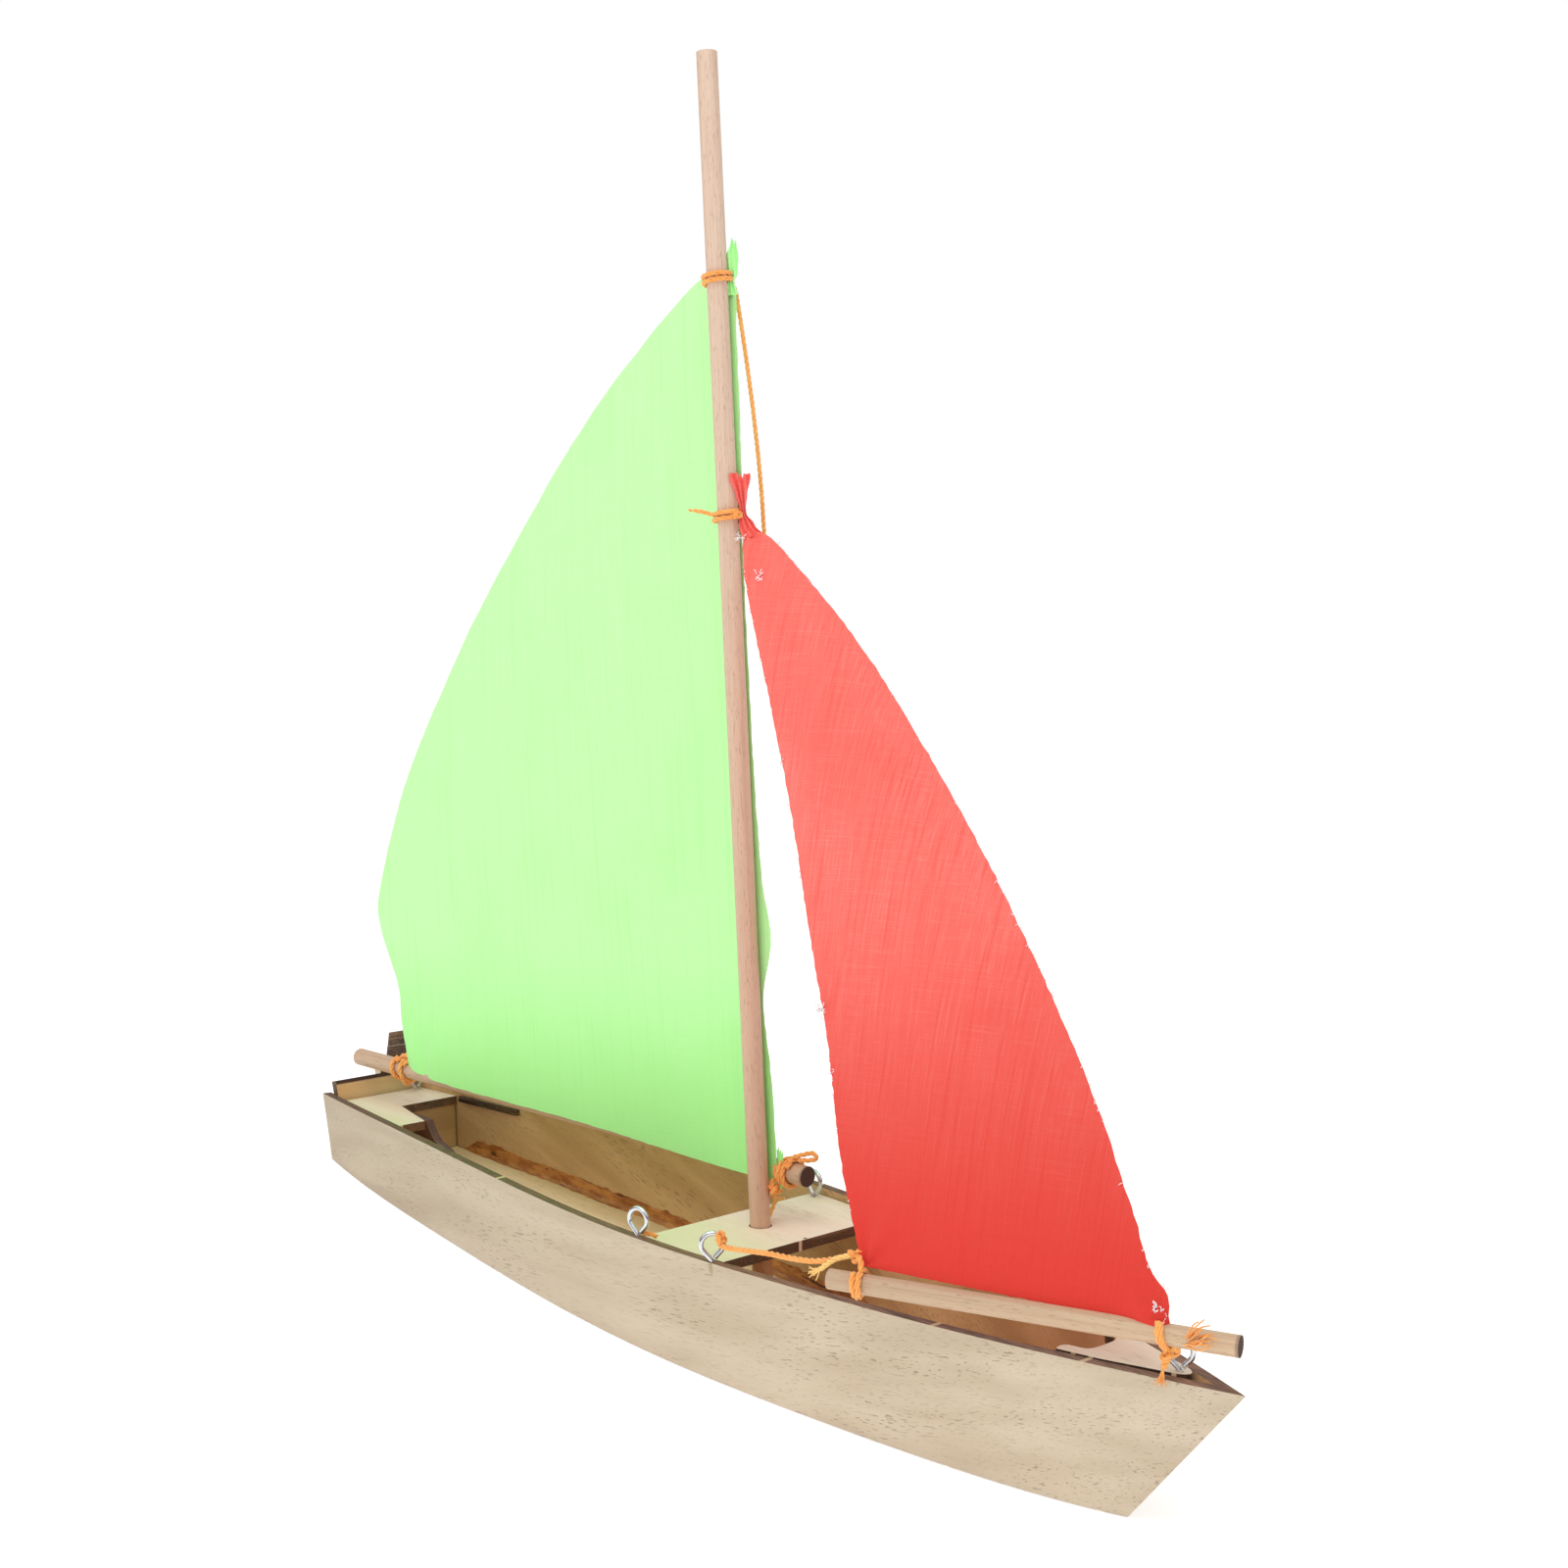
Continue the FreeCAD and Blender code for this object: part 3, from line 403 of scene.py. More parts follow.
def cord_material(name, light, dark):
    """Soft spun cord, lighter where it is fluffy."""
    t = Tree(name)
    fluff = t.noise(t.point, (2.2, 2.2, 2.2), 4.0, 0.7)
    broad = t.noise(t.point, (0.25, 0.25, 0.25), 2.0)
    colour = t.mix(t.step(fluff, 0.35, 0.7), dark, light)
    colour = t.mix(t.mul(t.step(broad, 0.4, 0.7), 0.35), colour, rgb(255, 196, 112))
    return t.finish(colour, 0.8, fluff, 0.0002, 0.7, Sheen_Weight=0.3)


def wire_material():
    """Bright drawn steel."""
    t = Tree("eye_wire")
    draw = t.noise(t.point, (1.2, 1.2, 4.0), 3.0, 0.6)
    colour = t.mix(draw, rgb(186, 188, 192), rgb(232, 234, 238))
    return t.finish(colour, t.add(t.mul(draw, 0.12), 0.08), draw, 0.00002, 0.3, Metallic=1.0)


def glue_material():
    """Dried glue, amber with brown specks."""
    t = Tree("amber_glue")
    cloud = t.noise(t.point, (0.12, 0.4, 0.4), 4.0, 0.65)
    colour = t.mix(t.step(cloud, 0.35, 0.65), rgb(162, 92, 40), rgb(210, 142, 76))
    specks = t.step(t.noise(t.point, (0.1, 0.6, 0.6), 3.0), 0.6, 0.68)
    colour = t.mix(specks, colour, rgb(104, 54, 22))
    return t.finish(colour, 0.32, cloud, 0.0003, 0.8)


def thread_material(name, colour):
    """A loose thread, partly bleached."""
    t = Tree(name)
    tone = t.noise(t.point, (1.5, 1.5, 1.5), 2.0)
    return t.finish(t.mix(tone, colour, WHITE), 0.9, tone, 0.0001, 0.5)


# painted light: the mainsail's green reflection on the starboard part of the thwart and stern deck
SAIL_GREEN_REFLECTION = rgb(222, 222, 178)
THWART_MARKS = (deck(-13.9, 16.5, 0), deck(17.6, 1.6, 0))
SOOT_RISE = 88.1


def wear(material, *nodes):
    """Put a material on the CAD nodes that are shown as they are."""
    for node in nodes:
        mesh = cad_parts[node].data
        mesh.materials.clear()
        mesh.materials.append(material)


TRANSOM_FACE = Vector((math.cos(TRANSOM_RAKE), 0, math.sin(TRANSOM_RAKE)))
RUDDER_UP = Vector((-math.sin(TRANSOM_RAKE), 0, math.cos(TRANSOM_RAKE)))
wear(hull_side("side_wood_starboard", -1), "side_panel_starboard")
wear(hull_side("side_wood_port", 1), "side_panel_port")
wear(ply("bottom_wood", Z, X, rgb(255, 232, 190), rgb(234, 204, 158)), "bottom_board")
wear(ply("transom_wood", TRANSOM_FACE, Y, rgb(228, 206, 148), rgb(212, 180, 122),
         tint=rgb(212, 160, 106), soot=(RUDDER_UP, SOOT_RISE)), "transom")
wear(ply("thwart_wood", DECK_UP, DECK_FORE, rgb(255, 244, 220), rgb(246, 230, 202), tint=SAIL_GREEN_REFLECTION,
         bridges=((Y, -0.9),), edge_dark=0.9, marks=THWART_MARKS), "thwart")
wear(ply("stern_deck_wood", DECK_UP, DECK_FORE, rgb(246, 234, 210), rgb(232, 214, 184), tint=SAIL_GREEN_REFLECTION,
         bridges=((Y, -17.5),), edge_dark=0.7, warm=rgb(134, 96, 62)), "stern_deck")
wear(ply("fore_deck_wood", DECK_UP, DECK_FORE, rgb(255, 248, 224), rgb(248, 230, 200),
         bridges=((X, 127.0), (X, 131.6), (X, 151.5)), edge_dark=1.0, warm=rgb(66, 40, 30)), "fore_deck")
wear(ply("frame_wood", DECK_FORE, Y, rgb(208, 170, 120), rgb(182, 144, 96)), "stern_frame", "fore_frame")
wear(ply("knee_wood", Y, X, rgb(128, 90, 60), rgb(84, 56, 40), edge_dark=0.5, warm=rgb(96, 60, 38)),
     "stern_knee")
wear(ply("stem_wood", Y, Z, rgb(196, 160, 118), rgb(156, 116, 80), edge_dark=0.4, warm=rgb(150, 112, 78)),
     "stem_block")
wear(ply("cleat_wood", DECK_UP, X, rgb(150, 112, 78), rgb(104, 72, 50), edge_dark=0.9,
         warm=rgb(92, 62, 44)), "thwart_cleat_starboard", "thwart_cleat_port", "stern_cleat_starboard")
# the port stern cleat is near-black: painted shadow, standing in for the dark gap just under the port sheer
wear(ply("painted_shadow_strip", DECK_UP, X, rgb(52, 32, 24), rgb(36, 22, 18), edge_dark=0.9, warm=rgb(44, 28, 22)),
     "stern_cleat_port")
wear(ply("step_wood", Z, X, rgb(206, 178, 138), rgb(176, 142, 102)), "mast_step")
wear(ply("rudder_wood", Vector((-0.05, 1.0, 0)).normalized(), Z, rgb(232, 218, 188), rgb(212, 194, 160)),
     "rudder_blade")
wear(ply("tiller_wood", RUDDER_UP, X, rgb(236, 220, 190), rgb(214, 190, 154), edge_dark=0.9,
         warm=rgb(86, 54, 38)), "rudder_gudgeon_lower", "rudder_gudgeon_upper", "tiller",
     "tiller_knob_lower", "tiller_knob_upper")
wear(dowel("mast_wood", on_mast(MAST_FOOT), on_mast(MAST_TOP), rgb(222, 194, 172), rgb(212, 174, 146),
           scorched_end=False), "mast")
wear(dowel("boom_wood", BOOM_AFT, BOOM_FORE, rgb(198, 168, 136), rgb(204, 174, 144)), "main_boom")
wear(dowel("jib_boom_wood", JIB_AFT, JIB_FORE, rgb(208, 180, 146), rgb(196, 168, 138)), "jib_boom")
WIRE = wire_material()
wear(WIRE, "rudder_pin")
ORANGE = cord_material("orange_cord", rgb(255, 192, 102), rgb(246, 150, 62))
YELLOW = cord_material("yellow_cord", rgb(255, 224, 140), rgb(248, 192, 98))
GLUE = glue_material()

# ------------------------ mesh helpers


def piece(name, points, faces, material, body, slot):
    """A smooth mesh piece in the row frame that rides on a body, or on none."""
    mesh = bpy.data.meshes.new(name)
    mesh.from_pydata([tuple(p) for p in points], [], faces)
    mesh.materials.append(material)
    mesh.update()
    mesh.polygons.foreach_set("use_smooth", [True] * len(mesh.polygons))
    made = placed(name, mesh)
    if body:
        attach(made, body)
    return made


def grid_faces(across, tall):
    """The quads of a grid of across by tall cells, whose points run row by row."""
    row = across + 1
    return [(k, k + 1, k + row + 1, k + row) for j in range(tall) for k in range(j * row, j * row + across)]


def curve_line(points, resolution=10):
    """Points read from the smooth NURBS line that has these control points."""
    curve = bpy.data.curves.new("line", "CURVE")
    curve.dimensions = "3D"
    curve.resolution_u = resolution
    spline = curve.splines.new("NURBS")
    spline.points.add(len(points) - 1)
    for target, p in zip(spline.points, points):
        target.co = (*p, 1.0)
    spline.order_u = 3
    spline.use_endpoint_u = True
    holder = bpy.data.objects.new("line", curve)
    mesh = bpy.data.meshes.new_from_object(holder)
    line = [v.co.copy() for v in mesh.vertices]
    bpy.data.objects.remove(holder)
    bpy.data.curves.remove(curve)
    bpy.data.meshes.remove(mesh)
    return line


def even(line, step):
    """The same line with points a step apart."""
    out, spare = [line[0]], 0.0
    for a, b in zip(line, line[1:]):
        length = (b - a).length
        if length < 1e-9:
            continue
        at = step - spare
        while at < length:
            out.append(a.lerp(b, at / length))
            at += step
        spare = length - (at - step)
    if (out[-1] - line[-1]).length > step * 0.3:
        out.append(line[-1])
    return out


def frames(line):
    """A direction and two turning-free side vectors for each point of a line."""
    result = []
    side = None
    for index, p in enumerate(line):
        ahead = (line[min(index + 1, len(line) - 1)] - line[max(index - 1, 0)]).normalized()
        side = ahead.orthogonal() if side is None else side - ahead * side.dot(ahead)
        side.normalize()
        result.append((p, ahead, side, ahead.cross(side)))
    return result


def sweep(line, radius, sides=8):
    """Points and faces of a round tube; radius is a number or a function of 0 to 1."""
    points, faces = [], []
    for index, (p, _, u, v) in enumerate(frames(line)):
        r = radius(index / (len(line) - 1)) if callable(radius) else radius
        for k in range(sides):
            a = 2 * math.pi * k / sides
            points.append(p + (u * math.cos(a) + v * math.sin(a)) * r)
    for index in range(len(line) - 1):
        for k in range(sides):
            a, b = index * sides + k, index * sides + (k + 1) % sides
            faces.append((a, b, b + sides, a + sides))
    faces.append(tuple(range(sides))[::-1])
    faces.append(tuple(range(len(points) - sides, len(points))))
    return points, faces


def gather(parts):
    """Join several lots of points and faces."""
    points, faces = [], []
    for some, those in parts:
        start = len(points)
        points += some
        faces += [tuple(i + start for i in face) for face in those]
    return points, faces


STRANDS = 3
STRAND_R = 0.25            # in cord diameters, and so is what follows
STRAND_STEP = 0.28
LAY = 4.2


def strands(line, diameter):
    """Twisted strands along a line, as one lot of points and faces."""
    path = frames(even(line, diameter * STRAND_STEP))
    radius = diameter * STRAND_R
    parts = []
    for k in range(STRANDS):
        turn, twisted = 2 * math.pi * k / STRANDS, []
        for index, (p, _, u, v) in enumerate(path):
            angle = turn + 2 * math.pi * index * STRAND_STEP / LAY
            twisted.append(p + (u * math.cos(angle) + v * math.sin(angle)) * radius)
        parts.append(sweep(twisted, radius, 7))
    return gather(parts)


def fray(base, direction, length, spread, count, radius=0.16):
    """Loose fibres at the end of a cord, length and radius in millimetres."""
    parts = []
    length, radius = length * MM, radius * MM
    direction = direction.normalized()
    u = direction.orthogonal().normalized()
    v = direction.cross(u)
    for _ in range(count):
        a, lean = rng.uniform(0, 2 * math.pi), rng.uniform(0.1, 1.0) * spread
        away = u * math.cos(a) + v * math.sin(a)
        curl = Vector([rng.uniform(-1, 1) for _ in range(3)]) * length * 0.12
        reach = length * rng.uniform(0.75, 1.05)
        control = [base, base + direction * reach * 0.35 + away * lean * reach * 0.2,
                   base + direction * reach * 0.7 + away * lean * reach * 0.6 + curl,
                   base + direction * reach + away * lean * reach]
        parts.append(sweep(curve_line(control, 3), lambda t: radius * (1 - 0.45 * t), 5))
    return gather(parts)


KNOT_POINTS = 48
KNOT_CORD = 1.35           # the cord's diameter where it is pulled tight


def knot(centre, axis, size, diameter=KNOT_CORD):
    """A small overhand knot: cord laid along a trefoil, size and diameter in millimetres."""
    axis = axis.normalized()
    u = axis.orthogonal().normalized()
    v = axis.cross(u)
    line = []
    for k in range(KNOT_POINTS + 1):
        a = 2 * math.pi * k / KNOT_POINTS
        squash = 0.862 + 0.038 * math.cos(1.5 * a)
        x = (math.sin(a) + 1.5 * math.sin(2 * a)) / 2.5
        y = (math.cos(a) - 1.5 * math.cos(2 * a)) / 2.5 * squash
        z = -math.sin(3 * a) * 0.45
        line.append(centre + (u * x + v * y + axis * z) * size * MM)
    return strands(line, diameter * MM)


TURN_POINTS = 12


def wound(centre, axis, radius, count, pitch, start, wobble=0.05):
    """Control points of cord wound round a spar, from an angle called start."""
    axis = axis.normalized()
    level = Z if abs(axis.z) < 0.7 else X
    u = (level - axis * level.dot(axis)).normalized()
    v = axis.cross(u)
    points = []
    total = int(count * TURN_POINTS)
    for k in range(total + 1):
        a = start + 2 * math.pi * k / TURN_POINTS
        along = (k / total - 0.5) * count * pitch
        r = radius / math.cos(math.pi / TURN_POINTS) * (1 + wobble * math.sin(1.7 * a + start))
        points.append(centre + ((u * math.cos(a) + v * math.sin(a)) * r + axis * along) * MM)
    return points


def rope(control, diameter=CORD):
    """Laid cord along the smooth line of some control points."""
    return strands(curve_line(control), diameter * MM)


def cord_piece(name, lots, body, material=ORANGE, node=None):
    """Lots of cord joined into one piece, in place of a CAD node if one is named."""
    made = piece(name, *gather(lots), material, body, "cord")
    if node:
        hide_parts(node)
    return made


# ------------------------ the free cords: jib sheet and shroud

# the same route as the CAD's, from the starboard eye to the jib's clew
SHEET_ROUTE = [deck(24.6, -34.8, 7.0), deck(33.0, -34.8, 8.0), deck(43.0, -34.7, 9.7),
               deck(54.0, -34.6, 10.6), deck(65.0, -34.4, 12.4), deck(74.6, -34.2, 16.5)]
sheet_line = curve_line(SHEET_ROUTE, 12)
jib_sheet = cord_piece("jib_sheet_cord", [strands(sheet_line, CORD * MM)], None, node="jib_sheet")
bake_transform(jib_sheet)

# the same route as the CAD's, from the main head's lashing to the port eye
SHROUD_ROUTE = [deck(-17.1, 7.4, 266.0), deck(-12.6, 11.4, 228.0), deck(-12.8, 15.0, 178.0),
                deck(-0.5, 22.6, 98.0), deck(12.4, 27.6, 46.0), deck(13.9, 30.3, 9.6)]
SHROUD_CORD = 1.3
shroud_line = curve_line(SHROUD_ROUTE, 12)
shroud = cord_piece("shroud_cord", [strands(shroud_line, SHROUD_CORD * MM)], "hull", node="shroud")

# ------------------------ screw eyes

# each eye's place on the deck, the height of its foot and its turn in degrees
EYES = {"eye_thwart_rear_starboard": (-11.1, -35.9, 1.95, 12.0),
        "eye_thwart_fore_starboard": (20.0, -34.3, 1.66, 50.0),
        "eye_thwart_rear_port": (-11.5, 31.0, 0.0, -5.0),
        "eye_thwart_fore_port": (14.6, 29.2, 0.0, 20.0),
        "eye_stern": (-211.0, 14.2, 0.0, 90.0),
        "eye_bow": (152.0, -0.6, 0.0, 35.0)}
RING, WIRE_R, RISE = 2.95, 0.72, 4.6
LOOP_START, LOOP_END, LOOP_STEP = -30, 216, 22


def screw_eye(name, x, y, foot, turn):
    """A wire stem that opens into a pear-shaped loop and closes on itself."""
    a = math.radians(turn)
    flat = Vector((-math.cos(a), -math.sin(a), 0))
    across = Vector((-math.sin(a), math.cos(a), 0))

    def at(sideways, height, off=0.0):
        p = Vector((x, y, 0)) + flat * sideways + across * off
        return deck(p.x, p.y, foot + height)
    control = [at(0, -3.0), at(0, -1.2), at(0.1, 0.3), at(1.0, 1.4)]
    for degrees in range(LOOP_START, LOOP_END, LOOP_STEP):
        angle = math.radians(degrees)
        lift = 0.3 * max(0.0, math.sin(angle))
        aside = 0.5 * (degrees - LOOP_START) / (LOOP_END - LOOP_START)
        control.append(at(RING * 1.05 * math.cos(angle), RISE + (RING + lift) * math.sin(angle), aside))
    control += [at(-1.5, 1.9, 0.55), at(-0.7, 0.9, 0.6)]
    line = even(curve_line(control, 8), 0.25 * MM)
    made = piece(name + "_wire", *sweep(line, WIRE_R * MM, 14), WIRE, "hull", "eye_steel")
    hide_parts(name)


for eye, place in EYES.items():
    screw_eye(eye, *place)

# ------------------------ sails

# outlines in each sail's own plane, in millimetres: the mainsail's x runs forward and its y up the
# mast from the thwart, and the jib's x runs along its foot and its y away from it, from the clew
MAIN_LUFF = [(6.2, 23.0), (4.7, 37.0), (2.1, 59.6), (2.4, 68.5), (6.3, 83.0), (3.8, 99.4), (2.4, 128.0),
             (2.0, 161.0), (1.9, 195.0), (3.1, 225.0), (3.4, 254.8), (3.9, 267.2)]
MAIN_LEECH = [(-183.0, 29.4), (-184.6, 46.1), (-185.8, 59.9), (-195.1, 80.3), (-192.6, 94.4),
              (-174.4, 128.9), (-142.5, 168.3), (-106.9, 204.6), (-69.0, 237.6), (-36.6, 259.7),
              (-17.0, 271.2), (-6.5, 275.3)]
MAIN_FOOT = [(-183.0, 29.4), (-176.0, 27.7), (-150.0, 24.6), (-81.5, 19.9), (-34.9, 15.3), (4.0, 12.4)]
JIB_LUFF = [(79.3, 0.6), (78.0, 6.5), (72.4, 12.0), (66.8, 23.4), (52.7, 49.6), (35.5, 76.8), (15.3, 105.3),
            (-8.4, 135.4), (-34.2, 164.6), (-61.9, 189.9), (-69.5, 194.6)]
JIB_LEECH = [(0.0, 0.0), (-11.3, 25.7), (-20.8, 54.9), (-32.6, 85.1), (-44.6, 116.6), (-58.4, 149.4),
             (-71.8, 180.6), (-75.3, 194.6)]
JIB_FOOT = [(0.0, 0.0), (30.0, -0.3), (55.0, -0.6), (68.0, -1.0), (75.0, -1.6), (79.3, 0.2)]
MAIN_PORT = 3.45           # the mainsail's plane, to port of the mast's axis
MAIN_CLEW, MAIN_TACK = (-180.0, 26.6), (4.0, 14.0)
MAIN_HEM = -188.0
JIB_CORNER = (76.0, 0.0)
JIB_RISE, JIB_REACH = 194.0, 79.0

sail_port = MAST_UP.cross(Vector((BOOM_RUN.x, BOOM_RUN.y, 0))).normalized()
sail_fore = sail_port.cross(MAST_UP)
jib_clew, jib_tack, jib_head = deck(79, -34, 14.8), deck(150.2, -6.6, 12.7), deck(-11.8, 5.9, 204.3)
jib_x = (jib_tack - jib_clew).normalized()
jib_out = jib_x.cross(jib_head - jib_clew).normalized()
jib_y = jib_out.cross(jib_x)


def main_at(x, y, out=0.0):
    """A point of the mainsail; out is millimetres to starboard of the flat cloth."""
    return on_mast(0) + (sail_fore * x + MAST_UP * y + sail_port * (MAIN_PORT - out)) * MM


def jib_at(x, y, out=0.0):
    """A point of the jib; out is millimetres to starboard of the flat cloth."""
    return jib_clew + (jib_x * x + jib_y * y + jib_out * out) * MM


def smooth_through(points, t):
    """A Catmull-Rom line through points, at 0 to 1 of its length."""
    spans = [math.dist(a, b) for a, b in zip(points, points[1:])]
    want, index = t * sum(spans), 0
    while index < len(spans) - 1 and want > spans[index]:
        want -= spans[index]
        index += 1
    f = min(1.0, want / spans[index])
    p = [points[max(0, min(len(points) - 1, index + k))] for k in (-1, 0, 1, 2)]
    out = []
    for axis in (0, 1):
        a, b, c, d = (q[axis] for q in p)
        out.append(0.5 * (2 * b + (c - a) * f + (2 * a - 5 * b + 4 * c - d) * f * f
                          + (3 * b - a - 3 * c + d) * f ** 3))
    return Vector(out)


def sail(name, node, leech, luff, foot, place, shape, material, body, slot):
    """A sail as one sheet: rows from the foot to the head, each from the leech to the luff.

    Returns the piece and the area of its flat cloth.
    """
    across, tall = 74, 120
    points, flats = [], []
    for j in range(tall + 1):
        v = j / tall
        a, b = smooth_through(leech, v), smooth_through(luff, v)
        for i in range(across + 1):
            u = i / across
            drop = smooth_through(foot, u) - smooth_through(leech, 0).lerp(smooth_through(luff, 0), u)
            p = a.lerp(b, u) + drop * max(0.0, 1 - v * 9) ** 2
            rim = i in (0, across) or j == 0
            ragged = 0.35 * noise.noise(Vector((p.x * 0.7, p.y * 0.7, 3.0))) if rim else 0.0
            flats.append(p)
            points.append(place(p.x + ragged, p.y + ragged * 0.5, shape(u, v, p)))
    faces = grid_faces(across, tall)
    area = 0.0
    for face in faces:
        corners = [flats[k] for k in face]
        area += 0.5 * sum(a.x * b.y - b.x * a.y for a, b in zip(corners, corners[1:] + corners[:1]))
    made = piece(name, points, faces, material, body, slot)
    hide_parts(node)
    return made, abs(area) * MM * MM


def ease(value, low, high):
    """0 at low and 1 at high, with a soft start and end."""
    t = max(0.0, min(1.0, (value - low) / (high - low)))
    return t * t * (3 - 2 * t)


def main_shape(u, v, p):
    """The mainsail's belly, its creases and the pulled corners."""
    free = ease(-p.x, 5.0, 45.0)
    belly = 4.0 * math.sin(math.pi * min(1.0, v * 1.02)) * math.sin(math.pi * u) * free
    crease = 0.35 * noise.noise(Vector((p.x * 0.11, p.y * 0.012, 0))) * free
    crease += 0.5 * noise.noise(Vector((p.x * 0.035, p.y * 0.03, 5.0))) * free
    clew = math.dist(p, MAIN_CLEW)
    pull = 0.9 * math.exp(-clew / 22) * math.sin(clew * 0.16 + p.x * 0.35)
    tack = math.dist(p, MAIN_TACK)
    pull += 0.25 * math.exp(-tack / 12) * math.sin(p.y * 0.9)
    hem = -1.2 * ease(-p.y, -70, -28) * free * math.exp(-((p.x - MAIN_HEM) / 14) ** 2)
    return belly + crease + pull + hem


def jib_shape(u, v, p):
    """The jib's belly, its creases, the pulled corners and the corner that curls at the tack."""
    belly = 7.0 * math.sin(math.pi * v ** 0.9) * math.sin(math.pi * u) * (1 - 0.2 * v)
    crease = 0.5 * noise.noise(Vector((p.x * 0.14 + p.y * 0.05, p.y * 0.02, 2.0)))
    crease *= ease(v, 0.0, 0.2)
    clew, tack = math.hypot(p.x, p.y), math.hypot(p.x - JIB_REACH, p.y)
    pull = 0.7 * math.exp(-clew / 16) * math.sin(math.atan2(p.y, p.x + 0.1) * 7)
    pull += 0.9 * math.exp(-tack / 14) * math.sin(math.atan2(p.y, JIB_REACH + 0.5 - p.x) * 6)
    head = math.exp(-(JIB_RISE - p.y) / 12) * 0.6 * math.sin(u * 9)
    corner = 2.6 * math.exp(-((p.x - JIB_CORNER[0]) / 7) ** 2 - ((p.y - JIB_CORNER[1]) / 5) ** 2)
    return belly + crease + pull + head + corner


main_foot_level = main_at(-90, 20).dot(MAST_UP) / MM
# the last argument is painted shade: darker green towards the foot, where the mainsail is lit less above the
# boom
GREEN = cloth("green_cloth", MAST_UP, sail_fore, rgb(190, 255, 168), (rgb(206, 255, 190), 0.5),
              (rgb(168, 246, 144), 0.35), 0.93,
              (MAST_UP, main_foot_level + 4, main_foot_level + 60, rgb(158, 242, 130), 0.65))
jib_foot_level = jib_clew.dot(jib_y) / MM
# the last argument is painted shade: deeper red towards the jib's foot
RED = cloth("red_cloth", jib_y, jib_x, rgb(248, 106, 94), (rgb(255, 160, 150), 0.45),
            (rgb(236, 76, 64), 0.4), 0.86,
            (jib_y, jib_foot_level - 4, jib_foot_level + 105, rgb(218, 42, 26), 0.95))
mainsail, main_area = sail("mainsail_cloth", "mainsail", MAIN_LEECH, MAIN_LUFF, MAIN_FOOT, main_at,
                           main_shape, GREEN, "main_boom_body", "green_cloth")
jib, jib_area = sail("jib_cloth", "jib", JIB_LEECH, JIB_LUFF, JIB_FOOT, jib_at, jib_shape, RED,
                     "jib_boom_body", "red_cloth")


def tuft(name, base, upward, outward, profile, folds, material, body, slot):
    """The gathered end of a sail: pleats drawn together and spread above the tie.

    Each row of profile is a height, a width, a sideways lean and the pleats' depth.
    """
    upward = upward.normalized()
    outward = (outward - upward * outward.dot(upward)).normalized()
    sideways = upward.cross(outward)
    points, across, tall = [], 36, 26
    length = profile[-1][0]
    for j in range(tall + 1):
        t = j / tall * length
        low, high = next(pair for pair in zip(profile, profile[1:]) if t <= pair[1][0] + 1e-9)
        f = ease(t, low[0], high[0])
        width, lean, deep = (a + (b - a) * f for a, b in zip(low[1:], high[1:]))
        for i in range(across + 1):
            u = i / across
            rag = (noise.noise(Vector((u * 9, t * 0.1, 1.0))) * 2.2) * (t / length) ** 6
            fold = math.sin(2 * math.pi * folds * u + 0.4 * t) * deep
            fold += 0.25 * deep * noise.noise(Vector((u * 14, t * 0.4, 8.0)))
            points.append(base + (upward * (t + rag) + sideways * (width * (u - 0.5) + lean)
                                  + outward * fold) * MM)
    return piece(name, points, grid_faces(across, tall), material, body, slot)


TUFT_OUT = Vector((0.75, -0.66, 0))
MAIN_TUFT_FOOT = on_mast(267.0, 2.7, 2.9)
JIB_TUFT_FOOT, JIB_TUFT_TIE = on_mast(198.0, 5.2, 1.2), on_mast(203.4, 5.2, 1.2)
main_tuft = tuft("mainsail_head_tuft", MAIN_TUFT_FOOT, MAST_UP, TUFT_OUT,
                 [(0.0, 3.6, 0.0, 0.5), (4.0, 1.7, 0.1, 0.5), (6.0, 3.2, 0.3, 0.6), (11.0, 3.6, 0.6, 0.5),
                  (15.0, 1.6, 1.2, 0.3)], 2.5, GREEN, "main_boom_body", "green_cloth")
jib_tuft = tuft("jib_head_tuft", JIB_TUFT_FOOT, MAST_UP, TUFT_OUT,
                [(0.0, 6.4, 2.6, 0.5), (3.4, 4.4, 1.0, 0.6), (6.6, 1.9, 0.1, 0.6), (8.4, 1.9, 0.0, 0.6),
                 (12.0, 3.4, -0.2, 0.8), (17.6, 6.2, -0.4, 0.9)], 3, RED, None, "red_cloth")
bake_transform(jib_tuft)
tack_strip = tuft("mainsail_tack_strip", deck(3.0, 4.6, 8.8), DECK_UP + DECK_FORE * 0.1, -Y,
                  [(0.0, 1.0, 0.0, 0.1), (4.0, 2.4, -0.1, 0.2), (9.0, 3.0, -0.3, 0.3),
                   (13.0, 3.6, -0.8, 0.3)], 1.5, GREEN, "main_boom_body", "green_cloth")

# ------------------------ lashings, knots and tails

MAST_WRAP = MAST_R + 0.85  # from a spar's axis to the middle of the cord wound on it
JIB_WRAP = JIB_BOOM_R + 0.9
HEAD_CORD = CORD * 0.95


def spar_point(start, end, distance):
    """The point this far along a spar from its start."""
    return start + (end - start).normalized() * distance * MM


def beside(point, x, y, z):
    """A point moved by some millimetres."""
    return point + Vector((x, y, z)) * MM


# main head: two turns round the mast and a knot to port
cord_piece("main_head_turns", [
    rope(wound(on_mast(272.0), MAST_UP, MAST_WRAP, 2.2, 1.6, 2.2), HEAD_CORD),
    knot(on_mast(271.6, -0.2, 4.4), MAST_UP, 1.5, 1.1)], "hull", node="main_head_lashing")
